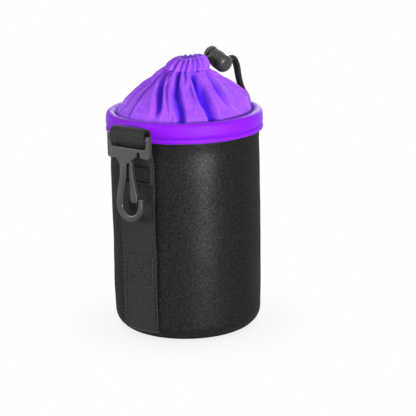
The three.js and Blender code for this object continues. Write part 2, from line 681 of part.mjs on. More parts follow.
function addStrap() {
  const course = new Course(strapLine().map(({ x, y }) => new THREE.Vector3(0, -x, y)));
  const strap = new THREE.ExtrudeGeometry(strapSection(), {
    extrudePath: course,
    steps: course.places.length - 1,
    bevelEnabled: false,
  });
  const flat = TUNNEL_LOW + TUNNEL_HEIGHT / 3;
  const share = (z) => 1 - THREE.MathUtils.smoothstep(z, TUNNEL_LOW, flat);
  add(pouch, "side_strap", wrapped(strap, share), WEBBING);

  const sewn = strapSewn + STRAP / 2 + GAP + THREAD / 2;
  const grown = THREAD / 2;
  const cross = box(CROSS_WIDTH, CROSS_LOW, CROSS_HEIGHT);
  const rows = cross.map((corner, i) => {
    const next = cross[(i + 1) % cross.length];
    const along = next.clone().sub(corner).setLength(grown);
    return [corner.clone().sub(along), next.clone().add(along)];
  });
  rows.push([cross[0], cross[2]], [cross[1], cross[3]]);
  const crossRows = rows.map(([from, to]) => wrapped(stitches(from, to, sewn)));
  add(pouch, "strap_cross_stitch", joined(...crossRows), BLACK_THREAD);

  const upper = box(BOX_WIDTH, boxLow, BOX_HEIGHT);
  const upperRows = upper.map((corner, i) => {
    const next = upper[(i + 1) % upper.length];
    const along = next.clone().sub(corner).setLength(grown);
    return stitches(corner.clone().sub(along), next.clone().add(along), sewn + tailOut);
  });
  add(pouch, "strap_box_stitch", joined(...upperRows), BLACK_THREAD);

  const edge = STRAP_WIDTH / 2 - EDGE_STITCH;
  const stitchTop = CROSS_LOW - EDGE_STITCH;
  const sides = { left: -edge, right: edge };
  for (const [side, x] of Object.entries(sides)) {
    const row = stitches(new THREE.Vector2(x, STITCH_LOW), new THREE.Vector2(x, stitchTop), sewn);
    add(pouch, `strap_edge_stitch_${side}`, wrapped(row), BLACK_THREAD);
  }
}

// Snap hook, drawn flat with its bar at the origin, and its springy gate
function addHook() {
  const hook = new THREE.Group();
  hook.position.set(0, -hookPlane, barHeight);
  hook.rotation.x = Math.PI / 2;
  pouch.add(hook);

  const inside = STRAP_WIDTH / 2 + SIDE_PLAY;
  const side = inside + ARM;
  const round = FRAME_ROUND;
  const frame = new THREE.Path();
  frame.moveTo(-side, BAR_RADIUS);
  frame.lineTo(-side, -FRAME_DROP + round);
  frame.absarc(-side + round, -FRAME_DROP + round, round, Math.PI, 1.5 * Math.PI);
  frame.lineTo(-GUSSET, -FRAME_DROP);
  frame.lineTo(LIMB_SIDE, -FRAME_DROP - GUSSET_DROP);
  frame.lineTo(0, -FRAME_DROP);
  frame.absarc(side - round, -FRAME_DROP + round, round, 1.5 * Math.PI, 2 * Math.PI);
  frame.lineTo(side, BAR_RADIUS);
  frame.lineTo(inside, BAR_RADIUS);
  frame.lineTo(inside, -WINDOW);
  frame.lineTo(-inside, -WINDOW);
  frame.lineTo(-inside, BAR_RADIUS);

  const turnHeight = -(HOOK_LENGTH - LIMB / 2 - HOOK_TURN);
  const limbSide = HOOK_TURN_SIDE - HOOK_TURN;
  const tipSide = HOOK_TURN_SIDE + HOOK_TURN;
  const limb = new THREE.Path();
  limb.moveTo(LIMB_SIDE, -FRAME_DROP + LIMB / 2);
  limb.lineTo(LIMB_SIDE, -FRAME_DROP);
  const bend = (turnHeight - FRAME_DROP) / 2;
  limb.bezierCurveTo(LIMB_SIDE, bend, limbSide, bend, limbSide, turnHeight);
  limb.absarc(HOOK_TURN_SIDE, turnHeight, HOOK_TURN, Math.PI, 2 * Math.PI);
  limb.lineTo(tipSide, turnHeight + TIP);

  const bar = new THREE.CylinderGeometry(BAR_RADIUS, BAR_RADIUS, 2 * side - ARM, BAR_SIDES);
  bar.rotateZ(Math.PI / 2);
  const body = joined(
    extruded(frame.getPoints(ARC_STEPS), HOOK),
    extruded(band(limb.getPoints(CURVE_STEPS), LIMB), HOOK),
    bar,
  );
  add(hook, "snap_hook", body, PLASTIC);

  const root = -FRAME_DROP - GAP;
  const gateRight = tipSide - LIMB / 2 - GAP;
  const gateLow = turnHeight + TIP - GATE_OVERLAP;
  const endRound = GATE_END / 2;
  const gate = new THREE.Path();
  gate.moveTo(GATE_ROOT_SIDE + GATE_TOP / 2, root);
  gate.lineTo(GATE_ROOT_SIDE - GATE_TOP / 2, root);
  gate.absarc(gateRight - endRound, gateLow + endRound, endRound, Math.PI, 2 * Math.PI);
  add(hook, "hook_gate", extruded(gate.getPoints(ARC_STEPS), HOOK - GATE_THINNER), PLASTIC);
}

addBody();
addRim();
addCollar();
addCord();
addLock();
addStrap();
addHook();

export default pouch;
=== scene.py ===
"""Looks of a drawstring lens pouch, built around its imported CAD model.

The script is laid out as an add-on. Sizes and colours are properties, each piece or group of like
pieces has an operator, and a panel in the 3D view's sidebar lists them. Run as a script, it
registers itself, builds every piece in order and sets the stage. Lengths inside the builders are
in millimetres; properties, and all that is handed to the scene, are in metres.
"""

import math
import random
from types import SimpleNamespace

import bpy
from mathutils import Matrix, Vector, noise


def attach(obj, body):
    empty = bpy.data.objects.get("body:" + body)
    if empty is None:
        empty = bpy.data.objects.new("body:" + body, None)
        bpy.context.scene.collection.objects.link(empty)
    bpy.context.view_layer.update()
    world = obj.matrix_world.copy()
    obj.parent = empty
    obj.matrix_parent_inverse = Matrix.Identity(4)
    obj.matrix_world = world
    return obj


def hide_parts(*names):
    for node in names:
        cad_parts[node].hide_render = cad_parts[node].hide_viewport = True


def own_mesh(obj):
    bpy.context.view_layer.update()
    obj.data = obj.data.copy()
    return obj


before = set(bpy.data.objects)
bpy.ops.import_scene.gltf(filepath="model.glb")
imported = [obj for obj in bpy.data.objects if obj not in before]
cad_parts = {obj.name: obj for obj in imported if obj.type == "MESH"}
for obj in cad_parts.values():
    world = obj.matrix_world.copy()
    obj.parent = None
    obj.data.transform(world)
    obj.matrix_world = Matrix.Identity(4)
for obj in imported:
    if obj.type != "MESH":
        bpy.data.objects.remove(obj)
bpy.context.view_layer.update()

bl_info = {
    "name": "Lens Pouch",
    "version": (1, 0, 0),
    "blender": (4, 5, 0),
    "location": "View3D > Sidebar > Pouch",
    "description": "Builds a padded drawstring pouch with a strap, a snap hook and a cord lock",
    "category": "Add Mesh",
}

MM = 0.001
CAMERA_TURN = 37.5  # degrees round the pouch from the strap's side to the camera
CAMERA_RISE = 15.2  # degrees above the floor
CAMERA_ROLL = -1.18  # degrees
CAMERA_AIM = 0.07  # height that the camera points at, from a metre away
CAMERA_SENSOR = 36
CAMERA_LENS = 140.4
CAMERA_SHIFT = (0.052, 0.0087)  # shares of the picture's width
CAMERA_RANGE = (0.05, 20)

LOCK_TURN = 16  # degrees from +Y towards +X, where the cord leaves the hem
CORD_SLOPE = 5  # degrees that the cord falls through the lock
LOCK_ROLL = 20  # degrees that the button's end is tipped up
AXIS = 0.02  # radius at which turned shapes are capped
DOUBLED = 1e-6  # points nearer than this are one

OUTWARD = Vector((math.sin(math.radians(LOCK_TURN)), math.cos(math.radians(LOCK_TURN)), 0))
ACROSS = Vector((OUTWARD.y, -OUTWARD.x, 0))
UP = Vector((0, 0, 1))
SEEN_RIGHT = Vector((math.cos(math.radians(CAMERA_TURN)), math.sin(math.radians(CAMERA_TURN)), 0))

# The drawstring's two ends, as (outward, above the rim, half the spread, degrees of twist)
ROUTE = [
    (8.98, 27.75, 5.7, 0),
    (13.3, 27.6, 4, 22),
    (16.9, 27.4, 2.1, 46),
    (20.3, 27, 1.4, 70),
    (27.2, 26.4, 1.4, 70),
    (33.4, 25.85, 1.4, 70),
    (38.2, 25.4, 1.5, 55),
    (40.6, 22, 1.5, 12),
    (41.9, 15.9, 1.4, 0),
    (43.3, 10.2, 1.4, 0),
    (45.4, 5.4, 1.4, 0),
    (48.2, 1.4, 1.4, 0),
    (49.5, -5, 1.4, 0),
    (49.5, -15, 1.4, 0),
    (49.3, -27, 1.4, 0),
    (49.2, -39, 1.4, 0),
    (49.2, -50, 1.4, 0),
]
ROUTE_STEPS = 8  # points of the cord between two places of its route
IN_LOCK = 4  # the place of the route that is the lock's middle

# Folds that the camera sees. Each has its degrees right of the middle, then its depth, at the rim,
# halfway and at the neck, and then its half width at the rim and at the neck
SEEN_FOLDS = [
    (-76, -80, -84, 0.6, 1.4, 1.4, 1.2, 0.9),
    (-54, -60, -72, 1.6, 2.0, 1.6, 0.8, 0.8),
    (-27, -32, -56, 0.3, 5.2, 3.6, 2.2, 1.5),
    (-10, -12, -13, 1.3, 1.0, 0.0, 0.8, 0.7),
    (-2, -10, -20, 4.2, 6.6, 4.0, 2.3, 1.4),
    (17, 11, 8, 1.2, 1.0, 0.0, 0.8, 0.7),
    (25, 20.5, 16, 4.6, 7.2, 4.2, 2.6, 1.5),
    (57, 45, 57, 0.9, 3.2, 3.8, 1.0, 1.6),
    (70, 76, 85, 0.2, 1.6, 1.8, 1.0, 1.0),
]


# Properties


def length(name, description, default):
    return bpy.props.FloatProperty(name=name, description=description, default=default, unit="LENGTH")


def colour(name, description, default):
    return bpy.props.FloatVectorProperty(
        name=name, description=description, default=default, subtype="COLOR", size=3, min=0, max=1
    )


class PouchSizes(bpy.types.PropertyGroup):
    body_radius: length("Body radius", "Outer radius of the padded wall", 0.045)
    body_height: length("Body height", "From the base to the top of the bound rim", 0.135)
    wall: length("Wall", "Thickness of the neoprene", 0.0036)
    corner: length("Corner", "Rounding of the lower edge", 0.010)
    rim_outer: length("Rim radius", "Outer radius of the bound rim", 0.0475)
    rim_inner: length("Rim opening", "Inner radius of the bound rim", 0.0417)
    rim_depth: length("Rim depth", "Depth of the binding's outer leg", 0.012)
    binding: length("Binding", "Thickness of the folded binding", 0.0016)
    collar_rise: length("Collar rise", "From the rim up to the gathered hem", 0.0232)
    neck_radius: length("Neck radius", "Radius of the collar below its hem", 0.0126)
    neck_shift: length("Neck shift", "How far the lock pulls the neck off the middle", 0.002)
    hem_height: length("Hem height", "Height of the ruffled hem", 0.0076)
    cord: length("Cord", "Diameter of the drawstring", 0.0025)
    cord_end: length("Cord end", "Length of each end of the drawstring", 0.109)
    cord_turn: length("Cord turn", "Radius of the cord's turn inside the hem", 0.009)
    lock_radius: length("Lock radius", "Radius of the lock's barrel", 0.0056)
    strap_width: length("Strap width", "Width of the webbing", 0.025)
    strap: length("Strap", "Thickness of the webbing", 0.0015)
    thread: length("Thread", "Diameter of the sewing thread", 0.0005)
    hook: length("Hook", "Thickness of the snap hook", 0.0034)
    hook_plane: length("Hook plane", "From the pouch's axis to the middle of the hook", 0.0532)
    bar_height: length("Bar height", "Height of the hook's bar above the base", 0.127)


class PouchColours(bpy.types.PropertyGroup):
    neoprene: colour("Neoprene", "Padded wall and base", (0.007, 0.0072, 0.0069))
    cloth: colour("Cloth", "Gathered collar", (0.335, 0.076, 0.915))
    # Painted shade: the colour that the collar's cloth is painted deep in its folds, standing for the
    # shade there
    fold: colour("Folds", "The collar's cloth deep in its folds", (0.075, 0.006, 0.72))
    rim: colour("Rim", "Binding round the rim", (0.225, 0.004, 0.7))
    purple_thread: colour("Purple thread", "Stitches in the binding and the hem", (0.16, 0.01, 0.62))
    black_thread: colour("Black thread", "Stitches in the strap", (0.04, 0.04, 0.041))
    webbing: colour("Webbing", "Side strap", (0.0115, 0.0118, 0.0113))
    plastic: colour("Plastic", "Hook and cord lock", (0.02, 0.02, 0.0205))
    cord: colour("Cord", "Drawstring", (0.010, 0.010, 0.012))
    lining: colour("Lining", "Soft inner face", (0.03, 0.03, 0.032))
    foam: colour("Foam", "Pad in the base", (0.05, 0.05, 0.053))
    steel: colour("Steel", "Spring in the lock", (0.5, 0.5, 0.52))


def in_millimetres(sizes):
    names = PouchSizes.__annotations__
    return SimpleNamespace(**{name: getattr(sizes, name) / MM for name in names})


def colour_of(name):
    return tuple(getattr(bpy.context.scene.pouch_colours, name))


# Lines and skins. A skin is a tuple of places, faces and texture places


def smooth_share(value, low, high):
    share = min(max((value - low) / (high - low), 0), 1)
    return share * share * (3 - 2 * share)


def arc(middle, radius, start, end, steps):
    turns = [math.radians(start + (end - start) * i / steps) for i in range(steps + 1)]
    return [(middle[0] + radius * math.cos(t), middle[1] + radius * math.sin(t)) for t in turns]


def bezier(a, b, c, d, steps):
    line = []
    for i in range(steps + 1):
        t = i / steps
        shares = ((1 - t) ** 3, 3 * t * (1 - t) ** 2, 3 * t * t * (1 - t), t**3)
        line.append(tuple(sum(s * p[k] for s, p in zip(shares, (a, b, c, d))) for k in (0, 1)))
    return line


def evenly(line, step):
    """The same line with points a step apart, and without doubled points."""
    places = [Vector(p) for p in line]
    made = [places[0]]
    for before, after in zip(places, places[1:]):
        gap = (after - before).length
        if gap < DOUBLED:
            continue
        count = max(1, round(gap / step))
        made += [before.lerp(after, (i + 1) / count) for i in range(count)]
    return made


def smooth_line(places, steps):
    """Points of a rounded line through places, with steps points between each two."""
    ends = [places[0] * 2 - places[1], *places, places[-1] * 2 - places[-2]]
    line = []
    for a, b, c, d in zip(ends, ends[1:], ends[2:], ends[3:]):
        bend = 2 * a - 5 * b + 4 * c - d
        sway = 3 * b - a - 3 * c + d
        for i in range(steps):
            t = i / steps
            line.append(0.5 * (2 * b + (c - a) * t + bend * t**2 + sway * t**3))
    return [*line, places[-1].copy()]


def heading(line, i):
    """The way that a line of points goes at one of them."""
    return (line[min(i + 1, len(line) - 1)] - line[max(i - 1, 0)]).normalized()


def rightwards(way):
    return Vector((way.y, -way.x))


def distances(line):
    reach = [0]
    for before, after in zip(line, line[1:]):
        reach.append(reach[-1] + (after - before).length)
    return reach


def loft(rings, along=None, closed_rows=False, capped=False):
    """The skin over closed rings of points."""
    count = len(rings[0])
    places = [p for ring in rings for p in ring]
    widest = max(rings, key=lambda ring: (Vector(ring[0]) - Vector(ring[count // 2])).length)
    around = distances([Vector(p) for p in [*widest, widest[0]]])
    if along is None:
        along = distances([Vector(ring[0]) for ring in rings])
    faces = []
    uvs = []
    rows = len(rings) if closed_rows else len(rings) - 1
    for row in range(rows):
        low = row * count
        high = (row + 1) % len(rings) * count
        v_low = along[row]
        v_high = along[row + 1] if row + 1 < len(along) else along[row] + 1
        for column in range(count):
            beside = (column + 1) % count
            faces.append((low + column, low + beside, high + beside, high + column))
            u_low, u_high = around[column], around[column + 1]
            uvs += [(u_low, v_low), (u_high, v_low), (u_high, v_high), (u_low, v_high)]
    if capped:
        faces.append(tuple(reversed(range(count))))
        faces.append(tuple((len(rings) - 1) * count + i for i in range(count)))
        uvs += [(0, 0)] * (2 * count)
    return places, faces, uvs


def turned(profile, sides, change=None):
    """Rings of a profile of (radius, height) points turned about an upright axis."""
    rings = []
    for radius, height in profile:
        ring = []
        for i in range(sides):
            angle = 2 * math.pi * i / sides
            r, z = change(radius, height, angle) if change else (radius, height)
            ring.append((r * math.cos(angle), r * math.sin(angle), z))
        rings.append(ring)
    return rings


def turned_skin(profile, sides, change=None, **ends):
    reach = [0]
    for (a, b), (c, d) in zip(profile, profile[1:]):
        reach.append(reach[-1] + math.hypot(c - a, d - b))
    return loft(turned(profile, sides, change), reach, **ends)


def tube_rings(line, radius, sides):
    """Rings of a tube along a line of points, turning with it as little as can be."""
    rings = []
    side = heading(line, 0).orthogonal().normalized()
    for i, place in enumerate(line):
        along = heading(line, i)
        side = (side - along * side.dot(along)).normalized()
        other = along.cross(side)
        size = radius(i) if callable(radius) else radius
        ring = []
        for k in range(sides):
            turn = 2 * math.pi * k / sides
            ring.append(place + side * (size * math.cos(turn)) + other * (size * math.sin(turn)))
        rings.append(ring)
    return rings


def tube(line, radius, sides):
    return loft(tube_rings(line, radius, sides), capped=True)


def prism(outline, thick):
    """The skin of an outline in the hook's plane with a thickness."""
    count = len(outline)
    places = [(x, y, thick / 2) for x, y in outline] + [(x, y, -thick / 2) for x, y in outline]
    faces = [tuple(range(count)), tuple(reversed(range(count, 2 * count)))]
    for i in range(count):
        j = (i + 1) % count
        faces.append((i, count + i, count + j, j))
    uvs = [(0, 0)] * sum(len(face) for face in faces)
    return places, faces, uvs


def join_shells(shells):
    places, faces, uvs = [], [], []
    for more, skin, texture in shells:
        start = len(places)
        places += more
        faces += [tuple(start + i for i in face) for face in skin]
        uvs += texture
    return places, faces, uvs


def stitch_shells(line, outwards, thread, stitch, space):
    """Short arched threads along a line of points, each dipping in at its ends."""
    reach = distances(line)
    steps = 6

    def at(distance):
        for i in range(len(line) - 1):
            if reach[i + 1] >= distance:
                share = (distance - reach[i]) / max(reach[i + 1] - reach[i], 1e-9)
                way = outwards[i].lerp(outwards[i + 1], share).normalized()
                return line[i].lerp(line[i + 1], share), way
        return line[-1], outwards[-1]

    shells = []
    count = max(1, int(reach[-1] / (stitch + space)))
    pitch = reach[-1] / count
    for k in range(count):
        centre = []
        for i in range(steps + 1):
            share = i / steps
            place, way = at(k * pitch + space / 2 + (pitch - space) * share)
            lift = thread * (0.42 * math.sin(math.pi * share) ** 0.6 - 0.3)
            centre.append(place + way * lift)
        shells.append(tube(centre, lambda i: thread / 2 * (0.7 if i in (0, steps) else 1), 6))
    return shells


def new_piece(name, skin, finish, hollows=None):
    """An object from a skin in millimetres, smooth shaded, with texture places in metres.

    Hollows, where given, tell for each point how deep it lies in a fold, from 0 to 1, and are kept as
    the hollow attribute, by which the cloth is painted in shade there.
    """
    places, faces, uvs = skin
    mesh = bpy.data.meshes.new(name)
    mesh.from_pydata([Vector(p) * MM for p in places], [], faces)
    mesh.polygons.foreach_set("use_smooth", [True] * len(mesh.polygons))
    layer = mesh.uv_layers.new(name="UVMap")
    layer.data.foreach_set("uv", [x * MM for pair in uvs for x in pair])
    if hollows:
        marks = mesh.attributes.new("hollow", "FLOAT", "POINT")
        marks.data.foreach_set("value", hollows)
    mesh.materials.append(finish_of(finish))
    mesh.update()
    piece = bpy.data.objects.new(name, mesh)
    bpy.context.scene.collection.objects.link(piece)
    return piece


def settle(piece, body, slot, *nodes):
    """Ties a finished piece to its body and hides the CAD nodes that it stands for; its slot is not
    used.
    """
    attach(piece, body)
    if nodes:
        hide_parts(*nodes)
    return piece


def add_piece(name, skin, finish, slot, *nodes, body="pouch", rounding=0):
    """A new piece with its edges rounded, where asked for, and settled."""
    piece = new_piece(name, skin, finish)
    if rounding:
        bevel = piece.modifiers.new("rounded edges", "BEVEL")
        bevel.width = rounding * MM
        bevel.segments = 3
        bevel.limit_method = "ANGLE"
        bevel.angle_limit = math.radians(32)
        bevel.harden_normals = True
    return settle(piece, body, slot, *nodes)


def add_stitches(name, runs, thread, stitch, space, finish, slot, node):
    """A piece of all the stitches along runs, which are lines of points with their ways outward."""
    shells = []
    for line, outwards in runs:
        shells += stitch_shells(line, outwards, thread, stitch, space)
    return add_piece(name, join_shells(shells), finish, slot, node)


# Materials


class Nodes:
    """A node tree, with short calls to add nodes and to join them."""

    def __init__(self, tree):
        self.tree = tree
        tree.nodes.clear()

    def add(self, kind, inputs=None, **settings):
        node = self.tree.nodes.new(kind)
        for name, value in settings.items():
            setattr(node, name, value)
        for name, value in (inputs or {}).items():
            self.feed(node.inputs[name], value)
        return node

    def feed(self, socket, value):
        if isinstance(value, bpy.types.NodeSocket):
            self.tree.links.new(value, socket)
        else:
            socket.default_value = value

    def math(self, operation, a, b):
        node = self.add("ShaderNodeMath", operation=operation)
        self.feed(node.inputs[0], a)
        self.feed(node.inputs[1], b)
        return node.outputs["Value"]

    def show_white(self, lit, white, output):
        """Puts white for lit in all that the camera sees, in a reflection or through glass too."""
        rays = self.add("ShaderNodeLightPath").outputs
        seen = rays["Is Camera Ray"]
        for name in ("Is Glossy Ray", "Is Transmission Ray"):
            seen = self.math("MAXIMUM", seen, rays[name])
        mix = self.add("ShaderNodeMixShader", {"Fac": seen})
        self.feed(mix.inputs[1], lit)
        self.feed(mix.inputs[2], white)
        self.feed(output.inputs["Surface"], mix.outputs["Shader"])


class Finish(Nodes):
    """A material, with short calls for its patterns and for its shader's values."""

    def __init__(self, name):
        self.material = bpy.data.materials.new(name)
        self.material.use_nodes = True
        super().__init__(self.material.node_tree)
        self.shader = self.add("ShaderNodeBsdfPrincipled")
        self.output = self.add("ShaderNodeOutputMaterial", {"Surface": self.shader.outputs["BSDF"]})
        self.places = self.add("ShaderNodeTexCoord").outputs

    def grain(self, source, scale, detail=2.0, roughness=0.5):
        values = {"Scale": scale, "Detail": detail, "Roughness": roughness}
        node = self.add("ShaderNodeTexNoise", {"Vector": self.places[source], **values})
        return node.outputs["Fac"]

    def cells(self, scale):
        node = self.add("ShaderNodeTexVoronoi", {"Vector": self.places["Object"], "Scale": scale})
        return node.outputs["Distance"]

    def bands(self, pitch, direction, turn=0, distortion=0.0):
        """Waves of a pitch in metres across the texture's x or y."""
        way = {"Vector": self.places["UV"], "Rotation": (0, 0, math.radians(turn))}
        values = {
            "Vector": self.add("ShaderNodeMapping", way).outputs["Vector"],
            "Scale": 2 * math.pi / (20 * pitch),
            "Distortion": distortion,
            "Detail": 0.0,
        }
        node = self.add("ShaderNodeTexWave", values, wave_type="BANDS", bands_direction=direction)
        return node.outputs["Fac"]

    def plus(self, a, b, share):
        return self.math("ADD", a, self.math("MULTIPLY", b, share))

    def between(self, share, low, high):
        node = self.add("ShaderNodeMapRange", {"Value": share, "To Min": low, "To Max": high})
        return node.outputs["Result"]

    def mixed(self, share, low, high):
        node = self.add("ShaderNodeMix", data_type="RGBA")
        self.feed(node.inputs["Factor"], share)
        colours = [socket for socket in node.inputs if socket.type == "RGBA"]
        for socket, value in zip(colours, (low, high)):
            self.feed(socket, (*value, 1) if isinstance(value, tuple) else value)
        return next(socket for socket in node.outputs if socket.type == "RGBA")

    def paint(self, colour, roughness):
        self.feed(self.shader.inputs["Base Color"], colour)
        self.feed(self.shader.inputs["Roughness"], roughness)

    def coat(self, base, tones, pattern, gloss, wear):
        """Paints from a dark to a light tone of a colour by a pattern, and gloss by its wear."""
        dark, light = tones
        colour = self.mixed(pattern, shade(base, dark), shade(base, light))
        self.paint(colour, self.between(wear, *gloss))

    def bump(self, height, distance, strength):
        values = {"Height": height, "Distance": distance, "Strength": strength}
        node = self.add("ShaderNodeBump", values)
        self.feed(self.shader.inputs["Normal"], node.outputs["Normal"])

    def fuzz(self, weight, roughness, tint=(0.6, 0.6, 0.6)):
        self.feed(self.shader.inputs["Sheen Weight"], weight)
        self.feed(self.shader.inputs["Sheen Roughness"], roughness)
        self.feed(self.shader.inputs["Sheen Tint"], (*tint, 1))

    def shine(self, level):
        self.feed(self.shader.inputs["Specular IOR Level"], level)


def shade(colour, amount):
    return tuple(min(1, c * amount) for c in colour)


def knit_neoprene(finish, base):
    """Black knit, whose loops hide each other's shine at a slant."""
    knit = finish.grain("Object", 950, 3.0, 0.7)
    speckle = finish.math("MULTIPLY", finish.math("POWER", knit, 2.0), 1.6)
    finish.coat(base, (0.4, 2.4), speckle, (0.36, 0.44), finish.grain("Object", 55, 3.0))
    finish.bump(finish.plus(knit, finish.cells(1300.0), 0.4), 0.00006, 0.3)
    finish.fuzz(0.01, 0.4)
    slant = finish.add("ShaderNodeLayerWeight").outputs["Facing"]
    facing = finish.math("POWER", finish.math("SUBTRACT", 1.0, slant), 2.0)
    finish.shine(finish.math("MULTIPLY", finish.between(speckle, 0.02, 0.36), facing))


def sewn_cloth(finish, base, pitch, ribs, deep=None):
    """Cloth with a share of ribs and the rest grain.

    Loose cloth is given the name of the colour of the shade painted into its folds, and has crinkles as
    well.
    """
    weft = finish.bands(pitch, "X")
    weave = finish.math("MAXIMUM", weft, finish.bands(pitch, "Y"))
    wide = finish.grain("Object", 90, 3.0)
    fine = finish.grain("Object", 900, 2.0, 0.7)
    tone = finish.plus(finish.math("MULTIPLY", weft, ribs), fine, 1 - ribs)
    relief = finish.plus(weave, wide, 0.6)
    relief_depth = 0.00012
    if deep:
        tone = finish.math("SUBTRACT", finish.math("MULTIPLY", tone, 2.4), 0.7)
        relief = finish.plus(finish.grain("Object", 420, 4.0, 0.65), weave, 0.15)
        relief_depth = 0.0007
    cloth = finish.mixed(tone, shade(base, 0.72), shade(base, 1.22))
    if deep:
        # Painted shade: the cloth turns to the fold colour by the hollow attribute, where it lies deep
        # in a fold
        hollow = finish.add("ShaderNodeAttribute", attribute_name="hollow").outputs["Fac"]
        cloth = finish.mixed(hollow, cloth, colour_of(deep))
    finish.paint(cloth, finish.between(wide, 0.5, 0.62))
    finish.bump(relief, relief_depth, 0.5)
    finish.fuzz(0.3, 0.35, (0.8, 0.62, 1.0))
    finish.shine(0.18)


def woven_webbing(finish, base):
    ribs = finish.bands(0.0011, "Y", 0, 0.4)
    lines = finish.bands(0.0014, "X")
    fibres = finish.grain("UV", 2600)
    weave = finish.plus(finish.math("MULTIPLY", ribs, lines), fibres, 0.4)
    finish.coat(base, (0.7, 2.6), weave, (0.55, 0.75), fibres)
    finish.bump(weave, 0.0003, 0.6)
    finish.fuzz(0.04, 0.4)
    finish.shine(finish.between(weave, 0.04, 0.3))


def moulded_plastic(finish, base):
    cloud = finish.grain("Object", 120, 4.0, 0.6)
    scuffs = finish.math("POWER", cloud, 3.0)
    finish.coat(base, (1, 2.2), scuffs, (0.28, 0.44), cloud)
    finish.bump(finish.grain("Object", 2400), 0.00004, 0.5)
    finish.shine(0.48)


def braided_cord(finish, base):
    braid = finish.math("MAXIMUM", finish.bands(0.0011, "X", 40), finish.bands(0.0011, "X", -40))
    fibres = finish.grain("UV", 3500)
    finish.coat(base, (0.5, 1.9), braid, (0.45, 0.65), fibres)
    finish.bump(finish.plus(braid, fibres, 0.3), 0.00025, 0.8)
    finish.fuzz(0.05, 0.4)
    finish.shine(0.12)


def twisted_thread(finish, base, tone=1):
    twist = finish.bands(0.0006, "X", 35)
    finish.coat(shade(base, tone), (0.7, 1.25), twist, (0.4, 0.6), finish.grain("Object", 5000))
    finish.bump(twist, 0.0001, 0.6)
    finish.shine(0.1)


def soft_lining(finish, base):
    pile = finish.grain("Object", 2200, 3.0, 0.7)
    finish.coat(base, (0.5, 1.8), pile, (0.8, 1.0), pile)
    finish.bump(pile, 0.0004, 0.7)
    finish.fuzz(0.6, 0.5, (0.5, 0.5, 0.5))


def open_foam(finish, base):
    cells = finish.cells(900.0)
    finish.coat(base, (0.5, 1.4), cells, (0.8, 0.95), cells)
    finish.bump(cells, 0.0003, 0.6)


def spring_steel(finish, base):
    drawn = finish.grain("Object", 3000)
    finish.coat(base, (0.8, 1.1), drawn, (0.22, 0.4), drawn)
    finish.bump(drawn, 0.00003, 0.4)
    finish.feed(finish.shader.inputs["Metallic"], 1.0)


# Each finish has its maker, its colour, and then what else its maker asks for
FINISHES = {
    "knit neoprene": (knit_neoprene, "neoprene"),
    # The collar's last value names the colour of the shade painted into its folds
    "collar cloth": (sewn_cloth, "cloth", 0.0005, 0.1, "fold"),
    "rim cloth": (sewn_cloth, "rim", 0.0011, 0.6),
    "purple thread": (twisted_thread, "purple_thread"),
    "black thread": (twisted_thread, "black_thread"),
    # Painted shade: the box's thread is painted ten times darker, standing for the shade where its
    # stitches sink into the doubled strap
    "dark thread": (twisted_thread, "black_thread", 0.1),
    "woven webbing": (woven_webbing, "webbing"),
    "plastic": (moulded_plastic, "plastic"),
    "braid": (braided_cord, "cord"),
    "soft lining": (soft_lining, "lining"),
    "open foam": (open_foam, "foam"),
    "spring steel": (spring_steel, "steel"),
}


def finish_of(name):
    """The named material, made when first asked for."""
    found = bpy.data.materials.get(name)
    if found:
        return found
    make, base, *more = FINISHES[name]
    finish = Finish(name)
    make(finish, colour_of(base), *more)
    return finish.material


# Pieces


class BuildCamera(bpy.types.Operator):
    """Sets the camera at the place that the picture was taken from"""

    bl_idname = "pouch.camera"
    bl_label = "Camera"

    def execute(self, context):
        turn, rise, roll = (math.radians(x) for x in (CAMERA_TURN, CAMERA_RISE, CAMERA_ROLL))
        level = math.cos(rise)
        back = Vector((math.sin(turn) * level, -math.cos(turn) * level, math.sin(rise)))
        data = bpy.data.cameras.new("camera")
        data.sensor_width = CAMERA_SENSOR
        data.lens = CAMERA_LENS
        data.shift_x, data.shift_y = CAMERA_SHIFT
        data.clip_start, data.clip_end = CAMERA_RANGE
        camera = bpy.data.objects.new("camera", data)
        context.scene.collection.objects.link(camera)
        facing = (-back).to_track_quat("-Z", "Y").to_matrix().to_4x4()
        place = Matrix.Translation(UP * CAMERA_AIM + back)
        camera.matrix_world = place @ facing @ Matrix.Rotation(roll, 4, "Z")
        context.scene.camera = camera
        return {"FINISHED"}


def strand(size, side):
    """One end of the drawstring, as a line of points from the hem to the knot."""
    places = []
    for out, rise, spread, twist in ROUTE:
        turn = math.radians(twist)
        offset = ACROSS * math.cos(turn) + UP * math.sin(turn)
        places.append(OUTWARD * out + UP * (size.body_height + rise) + offset * (side * spread))
    return smooth_line(places, ROUTE_STEPS)


